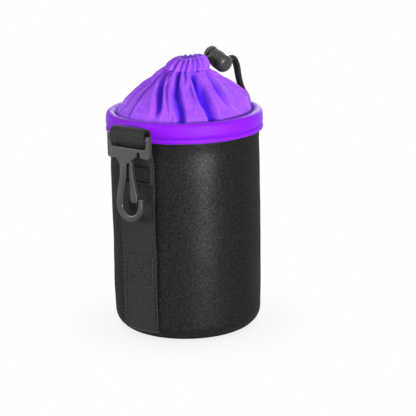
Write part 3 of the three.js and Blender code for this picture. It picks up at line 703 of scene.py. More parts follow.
class BuildCord(bpy.types.Operator):
    """Lays the drawstring through the hem, the lock and down the back to its knot"""

    bl_idname = "pouch.cord"
    bl_label = "Drawstring"

    TURN_INSET = 1.4  # how much smaller and lower the turn inside the hem is than its channel
    TURN_GAP = 44  # degrees on each side of the lock, where the turn is open
    KNOT_RADIUS = 3.45
    KNOT_TOP = 1.2
    KNOT_HEIGHT = 6.4
    END_LENGTH = 14.4  # of the cord's ends, from inside the knot to below it

    def execute(self, context):
        size = in_millimetres(context.scene.pouch_sizes)
        knot = self.build_knot(size)
        for side, name in ((1, "right"), (-1, "left")):
            line = strand(size, side)
            skin = tube(line, size.cord / 2, 12)
            piece = add_piece(f"cord_{name}", skin, "braid", "cord", f"drawstring_tail_{name}")
        self.build_turn(size)
        return {"FINISHED"}

    def build_turn(self, size):
        inset = self.TURN_INSET
        gap = self.TURN_GAP
        steps = 60
        rise = size.body_height + ROUTE[0][1] - inset
        middle = OUTWARD * (size.neck_shift + inset) + UP * rise
        line = []
        for i in range(steps + 1):
            angle = math.radians(gap + (360 - 2 * gap) * i / steps)
            way = OUTWARD * math.cos(angle) - ACROSS * math.sin(angle)
            line.append(middle + way * (size.cord_turn - inset))
        add_piece("cord_turn", tube(line, size.cord / 2, 10), "braid", "cord", "drawstring_ring")

    def build_knot(self, size):
        """Two strands wound round each other, and the two ends through them."""
        radius = size.cord / 2
        out, rise, spread, _ = ROUTE[-1]
        top = OUTWARD * out + UP * (size.body_height + rise)
        wound = self.KNOT_RADIUS - radius
        steps = 48
        lines = []
        for start in (0, math.pi):
            line = []
            for i in range(steps + 1):
                share = i / steps
                turn = start + share * 3 * math.pi
                swell = wound * (0.55 + 0.45 * math.sin(math.pi * min(max(share, 0.05), 0.95)))
                height = -self.KNOT_TOP - self.KNOT_HEIGHT * (share + 0.06 * math.sin(2 * turn))
                way = ACROSS * math.cos(turn) + OUTWARD * math.sin(turn)
                line.append(top + way * swell + UP * height)
            lines.append(line)
        steps = 11
        for side in (1, -1):
            line = []
            for i in range(steps + 1):
                apart = side * spread * (1 + 0.25 * i / steps)
                line.append(top + ACROSS * apart + UP * (0.4 - self.END_LENGTH * i / steps))
            lines.append(line)
        skin = join_shells([tube(line, radius, 10) for line in lines])
        return add_piece("cord_knot", skin, "braid", "cord", "tail_knot")


def corner_arc(size, inset, start, end, steps):
    """Part of the rounded lower edge, in (radius, height), at an inset from the outside."""
    middle = (size.body_radius - size.corner, size.corner)
    return arc(middle, size.corner - inset, start, end, steps)


def soft_wall(radius, height, angle):
    """A change for the wall's points: the slight swell and hollows of padded cloth."""
    share = smooth_share(height, 4, 30) * (1 - smooth_share(height, 100, 122))
    way = Vector((math.cos(angle) * 1.4, math.sin(angle) * 1.4, height / 38))
    swell = 0.5 + 0.3 * noise.noise(way) + 0.15 * noise.noise(way * 2.7)
    return radius + share * swell, height


class BuildBody(bpy.types.Operator):
    """Builds the padded wall and base, and the soft layers inside them"""

    bl_idname = "pouch.body"
    bl_label = "Padded body"

    SEAM_EDGE = 0.25  # how far the wall and the base turn in beside their seam
    SEAM_DEPTH = 0.9  # and how far in it
    LAYER_GAP = 0.3
    PAD_HEIGHT = 4
    PAD_ROUNDING = 1.8

    def execute(self, context):
        size = in_millimetres(context.scene.pouch_sizes)
        radius = size.body_radius
        inner = radius - size.wall
        low = size.body_height - size.rim_depth
        middle = (size.rim_outer + size.rim_inner) / 2
        crest = size.body_height - 3.4

        outside = corner_arc(size, self.SEAM_DEPTH, -44.5, -43, 1)
        outside += corner_arc(size, self.SEAM_EDGE, -41, -40, 1)
        outside += corner_arc(size, 0, -36, 0, 12)
        outside += [(radius, z) for z in range(14, 118, 3)]
        outside += [(radius + 0.6 * smooth_share(z, 116, low), z) for z in (118, 120, 122, 124)]
        outside += [(middle + 1, crest - 0.6)]
        top = arc((middle, crest), 1, 0, 180, 6)
        inside = [(middle - 1, 124), (inner, 117)]
        inside += [(inner, z) for z in range(112, 14, -10)]
        inside += corner_arc(size, size.wall, 0, -44, 8)
        skin = turned_skin(outside + top + inside, 120, soft_wall, closed_rows=True)
        wall = add_piece("padded_wall", skin, "knit neoprene", "neoprene", "neoprene_wall")

        base = [(AXIS, 0.0), (10, 0), (22, 0), (30, 0)]
        base += corner_arc(size, 0, -90, -52, 7)
        base += corner_arc(size, self.SEAM_EDGE, -49, -48, 1)
        base += corner_arc(size, self.SEAM_DEPTH, -46.5, -46, 1)
        base += corner_arc(size, size.wall, -46, -90, 6)
        base += [(22, size.wall), (10, size.wall), (AXIS, size.wall)]
        skin = turned_skin(base, 96, capped=True)
        floor = add_piece("padded_base", skin, "knit neoprene", "neoprene", "base_panel")

        self.build_layers(size, inner)
        return {"FINISHED"}

    def build_layers(self, size, inner):
        corner = size.body_radius - size.corner
        turn = self.PAD_ROUNDING
        low = size.wall + self.LAYER_GAP
        high = low + self.PAD_HEIGHT
        edge = corner - self.LAYER_GAP - turn
        pad = [(AXIS, low), (20, low), *arc((edge, low + turn), turn, -90, 0, 4)]
        pad += [*arc((edge, high - turn), turn, 0, 90, 4), (20, high), (AXIS, high)]
        skin = turned_skin(pad, 64, capped=True)
        piece = add_piece("foam_pad", skin, "open foam", "foam", "base_pad")

        low = high + self.LAYER_GAP
        disc = [(AXIS, low), (20, low), (39, low), (39.5, low + 0.4)]
        disc += [(39, low + 0.8), (20, low + 0.9), (AXIS, low + 0.8)]
        skin = turned_skin(disc, 64, capped=True)
        add_piece("lining_disc", skin, "soft lining", "lining", "base_lining")

        outer = inner - self.LAYER_GAP
        heights = (10.2, 40, 70, 100, 117.4)
        sleeve = [(outer, z) for z in heights] + [(outer - 0.4, 117.7)]
        sleeve += [(outer - 0.8, z) for z in reversed(heights)] + [(outer - 0.4, 10)]
        skin = turned_skin(sleeve, 96, closed_rows=True)
        add_piece("lining_tube", skin, "soft lining", "lining", "lining_sleeve")

        middle = (corner, size.corner)
        tape = arc(middle, 5.95, -68, -22, 6) + arc(middle, 5.3, -22, -68, 6)
        skin = turned_skin(tape, 64, closed_rows=True)
        add_piece("seam_tape", skin, "black thread", "black_thread", "base_seam_tape")


class BuildRim(bpy.types.Operator):
    """Builds the folded binding round the rim and its row of stitches"""

    bl_idname = "pouch.rim"
    bl_label = "Bound rim"

    SEAM = 3  # height of the stitches above the binding's lower edge

    def execute(self, context):
        size = in_millimetres(context.scene.pouch_sizes)
        outer = size.rim_outer
        inner = size.rim_inner
        fold = size.binding
        low = size.body_height - size.rim_depth
        seam = low + self.SEAM
        middle = (outer + inner) / 2
        turn = (outer - inner) / 2
        top = size.body_height - turn

        def soft(radius, height, angle):
            """The small waves of a sewn binding."""
            way = Vector((math.cos(angle) * 2.2, math.sin(angle) * 2.2, height / 30))
            near = 1 - smooth_share(abs(height - low - self.SEAM), 0.5, 3)
            pucker = 0.05 * math.sin(angle * 100) * near
            lift = 0.3 * noise.noise(way * 1.3 + Vector((5, 0, 0)))
            return radius + 0.18 * noise.noise(way) + pucker, height + lift

        profile = [(outer - fold, low + 0.3), (outer - 0.9, low)]
        profile += [(outer + 0.1, low + 0.3), (outer + 0.35, low + 1.2)]
        profile += [(outer + 0.1, seam - 0.7), (outer - 0.7, seam - 0.15)]
        profile += [(outer - 0.7, seam + 0.15), (outer + 0.05, seam + 0.8)]
        profile += [(outer + 0.25, seam + 2.4), (outer + 0.1, seam + 5.5)]
        profile += arc((middle, top), turn, 0, 180, 14)
        profile += [(inner, top - 5), (inner, low + 3.4), (inner + 0.8, low + 3)]
        profile += [(inner + fold, low + 3.4), (inner + fold, top)]
        profile += arc((middle, top), turn - fold, 180, 0, 8)
        profile += [(outer - fold, low + 4)]
        skin = turned_skin(profile, 180, soft, closed_rows=True)
        add_piece("rim_tape", skin, "rim cloth", "purple_cloth", "rim_binding")

        line = []
        outwards = []
        for i in range(361):
            angle = math.radians(i)
            radius, height = soft(outer - 0.45, seam, angle)
            way = Vector((math.cos(angle), math.sin(angle), 0))
            line.append(way * radius + UP * height)
            outwards.append(way)
        look = ("purple thread", "purple_thread")
        add_stitches("rim_thread", [(line, outwards)], size.thread, 2.4, 0.5, *look, "rim_stitch")
        return {"FINISHED"}


def all_folds():
    """The seen folds, and others like them round the back."""
    dice = random.Random(4)
    folds = list(SEEN_FOLDS)
    for middle in range(102, 270, 19):
        neck = middle + dice.uniform(-4, 4)
        halfway = neck + dice.uniform(-6, 6)
        rim = halfway + dice.uniform(-5, 5)
        depths = (dice.uniform(0.3, 2.6), dice.uniform(2.4, 4.6), dice.uniform(2, 3))
        folds.append((rim, halfway, neck, *depths, dice.uniform(1.4, 2.4), dice.uniform(1.1, 1.5)))
    return folds


def threes(values):
    return zip(values[0::3], values[1::3], values[2::3])


def drape(context, piece, columns, free_rows):
    """Lets a sheet of rows settle as cloth, with its other rows held, and keeps the settled shape.

    The cloth is simulated ten times as large as it is. The moves are evened along each column, so
    that folds stay and cross creases go, and no point moves further than the cap.
    """
    scene = context.scene
    large = 10
    last = 16  # frame
    cap = 0.0016
    reach = 4  # rows on each side
    slack = 0.06  # share by which the free rows are held
    model = piece.copy()
    model.data = piece.data.copy()
    scene.collection.objects.link(model)
    count = len(piece.data.vertices)
    before = [0.0] * (3 * count)
    piece.data.vertices.foreach_get("co", before)
    model.data.vertices.foreach_set("co", [x * large for x in before])
    held = model.vertex_groups.new(name="held")
    held.add(list(range(count)), 1, "REPLACE")
    for row in free_rows:
        inside = min(row - free_rows[0], free_rows[-1] - row)
        weight = slack + (1 - slack) * (1 - smooth_share(inside, 0, reach))
        held.add(list(range(row * columns, (row + 1) * columns)), weight, "REPLACE")
    cloth = model.modifiers.new("cloth", "CLOTH")
    cloth.settings.vertex_group_mass = "held"
    cloth.settings.quality = 5
    cloth.settings.mass = 0.05
    cloth.settings.tension_stiffness = 12
    cloth.settings.compression_stiffness = 12
    cloth.settings.shear_stiffness = 4
    cloth.settings.bending_stiffness = 0.05
    cloth.settings.shrink_min = -0.02
    cloth.settings.effector_weights.gravity = 0.3
    cloth.point_cache.frame_start = 1
    cloth.point_cache.frame_end = last
    for moment in range(1, last + 1):
        scene.frame_set(moment)
    settled = model.evaluated_get(context.evaluated_depsgraph_get())
    after = [0.0] * (3 * count)
    settled.data.vertices.foreach_get("co", after)
    moves = [Vector(b) / large - Vector(a) for a, b in zip(threes(before), threes(after))]
    for row in free_rows:
        for i in range(row * columns, (row + 1) * columns):
            near = moves[i - reach * columns : i + (reach + 1) * columns : columns]
            move = sum(near, Vector()) / len(near)
            if move.length > cap:
                move *= cap / move.length
            piece.data.vertices[i].co += move
    piece.data.update()
    bpy.data.objects.remove(model)
    scene.frame_set(1)


class BuildCollar(bpy.types.Operator):
    """Gathers the collar's cloth to its neck, with the ruffled hem and its stitches"""

    bl_idname = "pouch.collar"
    bl_label = "Gathered collar"

    COLUMNS = 480
    ROWS = 48
    HELD_LOW = 2  # rows of the dome that can't settle at the rim
    HELD_HIGH = 3  # and at the neck
    TUCK = 0.75  # gap between the rim's inside and the cloth
    TUCK_HEIGHTS = (-11, -8.5, -6, -4, -2.5)  # from the rim's top
    TILT = 0.08  # rise of the hem's upper edge towards the lock's side
    LEAN = 2.6  # how far the hem's top is pulled towards the lock
    SWELL = 2.5  # how far the cloth stands out at the seen right
    SWELL_PLACE = 92  # degrees right of the seen middle
    SWELL_WIDTH = 30  # degrees

    def execute(self, context):
        size = in_millimetres(context.scene.pouch_sizes)
        tuck = self.tuck_rings(size)
        dome, hollows = self.dome_rings(size, all_folds())
        hem = self.hem_rings(size)
        # Painted shade: the tucked cloth inside the rim and the valleys of the hem's ruffles are painted
        # towards the fold colour
        ruffle_shade = [0.55 * smooth_share(-self.ruffle(degrees), 0, 1) for degrees, _ in self.angles()]
        hollows = [0.6] * (len(tuck) * self.COLUMNS) + hollows + ruffle_shade * len(hem)
        collar = new_piece("gathered_collar", loft(tuck + dome + hem), "collar cloth", hollows)
        low = len(tuck) + self.HELD_LOW
        high = len(tuck) + self.ROWS - self.HELD_HIGH
        drape(context, collar, self.COLUMNS, range(low, high))
        settle(collar, "pouch", "purple_cloth", "collar_cloth", "collar_hem")
        self.build_stitches(size)
        return {"FINISHED"}

    def angles(self):
        """Each column's degrees right of the seen middle, and its angle round the axis."""
        start = math.radians(CAMERA_TURN - 90)
        step = 2 * math.pi / self.COLUMNS
        return [(math.degrees(i * step), start + i * step) for i in range(self.COLUMNS)]

    def tuck_rings(self, size):
        radius = size.rim_inner - self.TUCK
        rings = []
        for height in self.TUCK_HEIGHTS:
            z = size.body_height + height
            ways = [(radius * math.cos(angle), radius * math.sin(angle)) for _, angle in self.angles()]
            rings.append([Vector((x, y, z)) for x, y in ways])
        return rings

    def profile(self, size):
        tuck = size.rim_inner - self.TUCK
        rise = size.collar_rise
        return bezier(
            (tuck, size.body_height - 1.2),
            (tuck * 0.84, size.body_height + rise * 0.48),
            (tuck * 0.7, size.body_height + rise * 0.67),
            (size.neck_radius, size.body_height + rise),
            self.ROWS,
        )

    def crease(self, folds, degrees, share, radius):
        """How far in the folds take the cloth, at an angle and a share of the way to the neck."""
        shares = ((2 * share - 1) * (share - 1), 4 * share * (1 - share), share * (2 * share - 1))
        depth = 0
        for rim, middle, neck, rim_deep, middle_deep, neck_deep, rim_wide, neck_wide in folds:
            place = sum(s * p for s, p in zip(shares, (rim, middle, neck)))
            apart = (degrees - place + 180) % 360 - 180
            wide = rim_wide + (neck_wide - rim_wide) * share
            offset = abs(math.radians(apart) * radius / wide)
            if offset > 4:
                continue
            deep = max(0, sum(s * d for s, d in zip(shares, (rim_deep, middle_deep, neck_deep))))
            hollow = math.exp(-(offset**1.6))
            ridge = 0.3 * math.exp(-((offset - 1.8) ** 2) / 0.6)
            depth += deep * (hollow - ridge)
        return depth

    def dome_rings(self, size, folds):
        line = self.profile(size)
        rings = []
        hollows = []
        for row, (radius, height) in enumerate(line):
            share = row / self.ROWS
            before = line[max(row - 1, 0)]
            after = line[min(row + 1, self.ROWS)]
            along = Vector((after[0] - before[0], after[1] - before[1])).normalized()
            shift = OUTWARD * (size.neck_shift * smooth_share(share, 0, 1))
            swollen = smooth_share(share, 0, 0.25) * (1 - smooth_share(share, 0.3, 1))
            ring = []
            for degrees, angle in self.angles():
                way = Vector((math.cos(angle), math.sin(angle), 0))
                depth = self.crease(folds, degrees, share, radius)
                spot = way * 8 + UP * (share * 0.9)
                depth += 0.3 * noise.noise(spot) * smooth_share(share, 0, 0.3)
                depth += 0.6 * noise.noise(spot * 0.3 + Vector((3, 1, 7))) * smooth_share(share, 0, 0.2)
                depth -= 0.95 * self.ruffle(degrees) * smooth_share(share, 0.66, 1)
                apart = (degrees - self.SWELL_PLACE) / self.SWELL_WIDTH
                depth -= self.SWELL * math.exp(-(apart**2)) * swollen
                ring.append(way * (radius - depth * along.y) + UP * (height + depth * along.x) + shift)
                # Painted shade, stronger where a fold takes the cloth further in
                hollows.append(0.9 * smooth_share(depth, 0.4, 4))
            rings.append(ring)
        return rings, hollows

    def ruffle(self, degrees):
        turn = math.radians(degrees)
        wave = math.sin(19 * turn + 1.4 * math.sin(3 * turn))
        return 0.8 * wave + 0.3 * math.sin(31 * turn + 2 * math.sin(2 * turn + 1))

    def hem_place(self, size, degrees, angle, radius, height, strength):
        wave = self.ruffle(degrees)
        way = Vector((math.cos(angle), math.sin(angle), 0))
        upper = smooth_share(height, 3, size.hem_height)
        r = radius + strength * wave
        lift = upper * (0.4 * wave + self.TILT * r * way.dot(SEEN_RIGHT))
        shift = size.neck_shift + self.LEAN * max(height, 0) / size.hem_height
        base = size.body_height + size.collar_rise
        return way * r + UP * (base + height + lift) + OUTWARD * shift

    def hem_rings(self, size):
        foot = size.neck_radius
        tall = size.hem_height
        # Each ring's radius, height and strength of its ruffles
        profile = [
            (foot - 0.1, 0.4, 0.95),
            (foot + 0.1, 1.2, 1.1),
            (foot + 0.1, 2.2, 1.2),
            (foot - 0.4, 3.5, 1.25),
            (foot - 1.1, 4.8, 1.1),
            (foot - 2.3, 6.0, 1.1),
            (foot - 3.6, 7.0, 1.1),
            (foot - 5.0, tall, 1.0),
            (foot - 6.3, tall + 0.1, 0.9),
            (foot - 7.4, tall - 0.5, 0.8),
            (foot - 8.2, tall - 1.6, 0.6),
            (foot - 8.4, tall - 3.2, 0.5),
            (foot - 8.1, tall - 5, 0.4),
        ]
        return [[self.hem_place(size, *turn, *point) for turn in self.angles()] for point in profile]

    def build_stitches(self, size):
        line = []
        outwards = []
        for degrees, angle in self.angles() + self.angles()[:1]:
            line.append(self.hem_place(size, degrees, angle, size.neck_radius + 0.05, 0.7, 1.0))
            outwards.append(Vector((math.cos(angle), math.sin(angle), 0)))
        look = ("purple thread", "purple_thread")
        add_stitches("hem_thread", [(line, outwards)], size.thread, 1.8, 0.5, *look, "hem_stitch")


class BuildLock(bpy.types.Operator):
    """Builds the cord lock: barrel, ribbed button and spring"""

    bl_idname = "pouch.lock"
    bl_label = "Cord lock"

    RIBS = 16
    RIB_DEPTH = 0.22
    COIL_TURNS = 3
    COIL_RADIUS = 2.6
    COIL_LOW = -6.3
    COIL_HEIGHT = 2.9
    WIRE_RADIUS = 0.25

    def execute(self, context):
        size = in_millimetres(context.scene.pouch_sizes)
        slope, roll = math.radians(CORD_SLOPE), math.radians(LOCK_ROLL)
        along = OUTWARD * math.cos(slope) - UP * math.sin(slope)
        above = OUTWARD * math.sin(slope) + UP * math.cos(slope)
        button = above * math.sin(roll) - ACROSS * math.cos(roll)
        beside = button.cross(along)
        out, rise, _, _ = ROUTE[IN_LOCK]
        middle = OUTWARD * out + UP * (size.body_height + rise)
        place = Matrix((along, beside, button)).transposed()

        def set_in(rings):
            return loft([[middle + place @ Vector(p) for p in ring] for ring in rings], capped=True)

        def ribbed(r, z, angle):
            if 7.6 < z < 9.9 and r > 4:
                return r + self.RIB_DEPTH * math.cos(angle * self.RIBS), z
            return r, z

        radius = size.lock_radius
        shell = arc((radius - 3, -5.05), 3, -89, 0, 10)
        shell += [(radius + 0.15, -2), (radius + 0.25, 0), (radius + 0.15, 2), (radius, 3.4)]
        shell += arc((radius - 0.7, 3.9), 0.7, 0, 90, 4)
        shell += [(4.1, 4.6), (4, 4.2), (4, -6.5), (AXIS, -6.8)]
        look = ("plastic", "black_plastic")
        add_piece("lock_shell", set_in(turned(shell, 64)), *look, "lock_barrel", body="lock")

        cap = [(AXIS, -2.8), (3.5, -2.8), (3.7, -2.6), (3.7, 7.2), (4.3, 7.3), (4.65, 7.7)]
        cap += [(4.7, 8.4), (4.7, 9.2), (4.6, 9.8), (4.1, 10.3), (2.6, 10.6), (AXIS, 10.7)]
        skin = set_in(turned(cap, 96, ribbed))
        add_piece("lock_button", skin, *look, "lock_plunger", body="plunger")

        coil = []
        steps = 90
        for i in range(steps + 1):
            turn = 2 * math.pi * self.COIL_TURNS * i / steps
            x, y = self.COIL_RADIUS * math.cos(turn), self.COIL_RADIUS * math.sin(turn)
            coil.append(Vector((x, y, self.COIL_LOW + self.COIL_HEIGHT * i / steps)))
        skin = set_in(tube_rings(coil, self.WIRE_RADIUS, 8))
        spring = add_piece("lock_coil", skin, "spring steel", "spring_steel", "lock_spring", body="lock")
        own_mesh(spring)
        return {"FINISHED"}


STRAP_GAP = 0.3  # between the strap and what it lies on
STRAP_SLACK = 1.2  # and where a belt goes through
STRAP_DOUBLE = 1.8  # from the strap's line to that of its end, which lies on it
BAR_GRIP = 2.95  # from the middle of the hook's bar to the strap's line round it
BELT_LOW, BELT_MIDDLE, BELT_HIGH = 55, 75, 95  # heights of the belt's way through
BOX_HIGH = 108  # where the strap leaves the wall
RIM_LOW = 122.7  # where it lies on the rim
TAIL_LOW = 98.5  # where its end is
FOOT_LEAN = 1.3  # how far the strap's foot lies to the left


def strap_line(size):
    """The strap's line in (radius, height), as in the CAD: up the wall, over the bar and back."""
    half = size.strap / 2
    sewn = size.body_radius + STRAP_GAP + half
    slack = size.body_radius + STRAP_SLACK + half
    over = size.rim_outer + STRAP_GAP + half
    bar = size.bar_height
    turn = (size.hook_plane + BAR_GRIP - over) / 2
    turn_height = bar + 6 - half - turn
    fold = size.hook_plane - over - STRAP_DOUBLE
    fold_height = bar - BAR_GRIP - fold
    tail = sewn + STRAP_DOUBLE
    back = over + STRAP_DOUBLE
    bend = (BOX_HIGH + RIM_LOW) / 2
    corner = (size.body_radius - size.corner, size.corner)
    line = []
    for angle in range(-44, 1, 2):
        sunk = 2.4 * (1 - smooth_share(angle, -44, -6))
        line += arc(corner, size.corner + STRAP_GAP + half - sunk, angle, angle, 1)[:1]
    line += [(sewn, BELT_LOW)]
    line += bezier((sewn, BELT_LOW), (sewn, 60), (slack, 60), (slack, BELT_MIDDLE), 10)
    line += bezier((slack, BELT_MIDDLE), (slack, 90), (sewn, 90), (sewn, BELT_HIGH), 10)
    line += [(sewn, BOX_HIGH)]
    line += bezier((sewn, BOX_HIGH), (sewn, bend), (over, bend), (over, RIM_LOW), 12)
    line += arc((over + turn, turn_height), turn, 180, 0, 20)
    line += arc((size.hook_plane, bar), BAR_GRIP, 0, -90, 12)
    line += arc((size.hook_plane, fold_height), fold, 90, 180, 12)
    line += bezier((back, fold_height), (back, 113.7), (tail, 113.7), (tail, BOX_HIGH), 12)
    line += [(tail, TAIL_LOW)]
    return evenly(line, 0.8)


def strap_bend(height):
    """How much of the wall's roundness the strap's width takes on at a height."""
    return 1 - 0.55 * smooth_share(height, 8, 34) - 0.45 * smooth_share(height, 40, 85)


def wrapped(x, radius, height):
    """A point of the strap, with its width bent to the round wall below the belt loop."""
    share = strap_bend(height)
    sag = radius - math.sqrt(radius * radius - x * x)
    lean = FOOT_LEAN * (1 - smooth_share(height, 0, 80))
    return Vector((x - lean, -radius + sag * share, height))


class BuildStrap(bpy.types.Operator):
    """Builds the webbing strap with its selvedges and rows of stitches"""

    bl_idname = "pouch.strap"
    bl_label = "Side strap"

    STEPS = 18  # across the width
    ZIGZAG = 0.22
    ZIGZAG_PITCH = 2.1

    def execute(self, context):
        size = in_millimetres(context.scene.pouch_sizes)
        line = strap_line(size)
        reach = distances(line)
        rings = []
        for i, place in enumerate(line):
            rings.append(self.section(size, place, rightwards(heading(line, i)), reach[i]))
        skin = loft(rings, reach, capped=True)
        add_piece("web_strap", skin, "woven webbing", "webbing", "side_strap")
        skin = join_shells(self.selvedge(size, line))
        add_piece("strap_selvedge", skin, "black thread", "webbing")
        self.build_stitches(size)
        return {"FINISHED"}

    def section(self, size, place, out, reach):
        """The webbing's section, with thicker and slightly wavy edges."""
        zigzag = self.ZIGZAG * math.sin(2 * math.pi * reach / self.ZIGZAG_PITCH)
        ring = []
        for sign in (1, -1):
            for k in range(self.STEPS + 1):
                share = sign * (1 - 2 * k / self.STEPS)
                edge = smooth_share(abs(share), 0.86, 0.97)
                taper = math.sqrt(max(1 - max(abs(share) - 0.95, 0) * 19, 0.05))
                thick = size.strap / 2 * (0.92 + 0.2 * edge) * taper
                x = share * (size.strap_width / 2 + (zigzag if edge > 0.9 else 0))
                point = place + out * (sign * thick)
                ring.append(wrapped(x, point.x, point.y))
        return ring

    def selvedge(self, size, line):
        """Slanting threads that bind both edges of the webbing."""
        shells = []
        for sign in (1, -1):
            for low, high in zip(line[2::3], line[4::3]):
                out = rightwards((high - low).normalized())
                thread = []
                for share in (0, 0.5, 1):
                    lift = size.strap / 2 + 0.05 + 0.2 * math.sin(math.pi * share)
                    point = low.lerp(high, share) + out * lift
                    x = sign * (size.strap_width / 2 - 0.9 + share)
                    thread.append(wrapped(x, point.x, point.y))
                shells.append(tube(thread, 0.3, 6))
        return shells

    def run(self, start, end, radius):
        """Points and ways outward from one corner of a row of stitches to the next."""
        count = max(4, int(math.dist(start, end) / 1.5))
        line = []
        outwards = []
        for i in range(count + 1):
            share = i / count
            x = start[0] + (end[0] - start[0]) * share
            height = start[1] + (end[1] - start[1]) * share
            place = wrapped(x, radius, height)
            line.append(place)
            bent = strap_bend(height)
            outwards.append(Vector((place.x * bent, place.y, 0)).normalized())
        return line, outwards

    def build_stitches(self, size):
        sewn = size.body_radius + STRAP_GAP + size.strap + 0.18
        cross = [(-10, 35), (10, 35), (10, 54), (-10, 54)]
        box = [(-10.2, 100), (10.2, 100), (10.2, 109), (-10.2, 109)]
        left, right = ([((x, 12), (x, 33.2))] for x in (-10.7, 10.7))
        crossed = [*zip(cross, cross[1:] + cross[:1]), (cross[0], cross[2]), (cross[1], cross[3])]
        boxed = [*zip(box, box[1:] + box[:1])]
        # How far out a row lies, its thickness in threads, and its finish
        single = (sewn, 1.15, "black thread")
        # The box's thread is painted darker, as shade where it sinks in
        double = (sewn + STRAP_DOUBLE, 1.9, "dark thread")
        rows = (
            ("cross_thread", "strap_cross_stitch", crossed, single),
            ("box_thread", "strap_box_stitch", boxed, double),
            ("edge_thread_left", "strap_edge_stitch_left", left, single),
            ("edge_thread_right", "strap_edge_stitch_right", right, single),
        )
        for name, node, lines, (radius, thick, finish) in rows:
            runs = [self.run(start, end, radius) for start, end in lines]
            add_stitches(name, runs, size.thread * thick, 2.2, 0.6, finish, "black_thread", node)


class BuildHook(bpy.types.Operator):
    """Builds the snap hook with its bar, and its springy gate"""

    bl_idname = "pouch.hook"
    bl_label = "Snap hook"

    BAR_RADIUS = 1.9
    ARM = 2.6  # width of the frame's arms
    CORNER = 1.6
    LIMB_SIDES = 24
    LIMB_POWER = 5  # how square the limb's section is

    def execute(self, context):
        size = in_millimetres(context.scene.pouch_sizes)
        inside = size.strap_width / 2 + 0.5
        side = inside + self.ARM
        bend = side - self.CORNER
        top = self.BAR_RADIUS

        left = [(-side, top), *arc((-bend, -11.4), self.CORNER, 180, 270, 5), (-9, -13), (-6.6, -17)]
        notch = [(6.2, -10.6), (6.5, -8.2), (8.4, -8.2), (8.7, -11.2)]
        right = [(1.4, -15), (3.4, -12.8), *notch]
        right += [*arc((bend, -10.2), self.CORNER, 270, 360, 5), (side, top)]
        window = [(inside, top), (inside, -5), (inside - 1, -6)]
        window += [(-x, y) for x, y in reversed(window)]

        limb = [(-4.2, -10.8), (-4.2, -13)]
        limb += bezier((-4.2, -13), (-4.2, -28), (-7.4, -30.5), (-8, -41), 14)
        limb += arc((-0.2, -41), 7.8, 180, 360, 20)
        limb += [(7.6, -36)]
        bar = [Vector((-side + 1 + (2 * side - 2) * i / 12, 0, 0)) for i in range(13)]

        shells = [prism(left + right + window, size.hook), self.limb(size, evenly(limb, 0.9))]
        shells.append(tube(bar, self.BAR_RADIUS, 24))
        look = ("plastic", "black_plastic")
        skin = self.set_in(size, shells)
        add_piece("hook_body", skin, *look, "snap_hook", body="hook", rounding=0.55)

        gate = [(2.2, -13.3), (0.2, -13.3), (0.3, -24), (0.5, -33), (0.6, -37.8), (1.4, -38.9)]
        gate += [(4.8, -38.9), (5.5, -37.9), (5, -33.4), (3.5, -26.6), (2.4, -20)]
        ridge = [(1.6, -13.6), (0.8, -13.6), (0.9, -26), (1.2, -31), (1.7, -26)]
        nub = prism(arc((3.1, -37.2), 1.1, 0, 330, 11), size.hook)
        shells = [prism(gate, size.hook - 0.6), prism(ridge, size.hook + 0.2), nub]
        skin = self.set_in(size, shells)
        add_piece("hook_tongue", skin, *look, "hook_gate", body="gate", rounding=0.35)
        return {"FINISHED"}

    def set_in(self, size, shells):
        """The joined skin, moved from the hook's own plane to its place on the strap."""
        places, faces, uvs = join_shells(shells)
        moved = [Vector((x, -size.hook_plane - z, size.bar_height + y)) for x, y, z in places]
        return moved, faces, uvs

    def limb(self, size, line):
        """The limb's skin: a flat section with blunt corners that thins towards the tip."""
        power = self.LIMB_POWER
        rings = []
        for i, place in enumerate(line):
            out = rightwards(heading(line, i))
            share = i / (len(line) - 1)
            wide = 2.3 - 1.0 * smooth_share(share, 0.62, 1)
            thick = size.hook / 2 * (0.94 + 0.12 * smooth_share(share, 0.02, 0.12) - 0.12 * share)
            ring = []
            for k in range(self.LIMB_SIDES):
                turn = -2 * math.pi * k / self.LIMB_SIDES
                c, s = math.cos(turn), math.sin(turn)
                blunt = 1 / (abs(c) ** power + abs(s) ** power) ** (1 / power)
                flat = place + out * (wide * c * blunt)
                ring.append((flat.x, flat.y, thick * s * blunt))
            rings.append(ring)
        return loft(rings, capped=True)


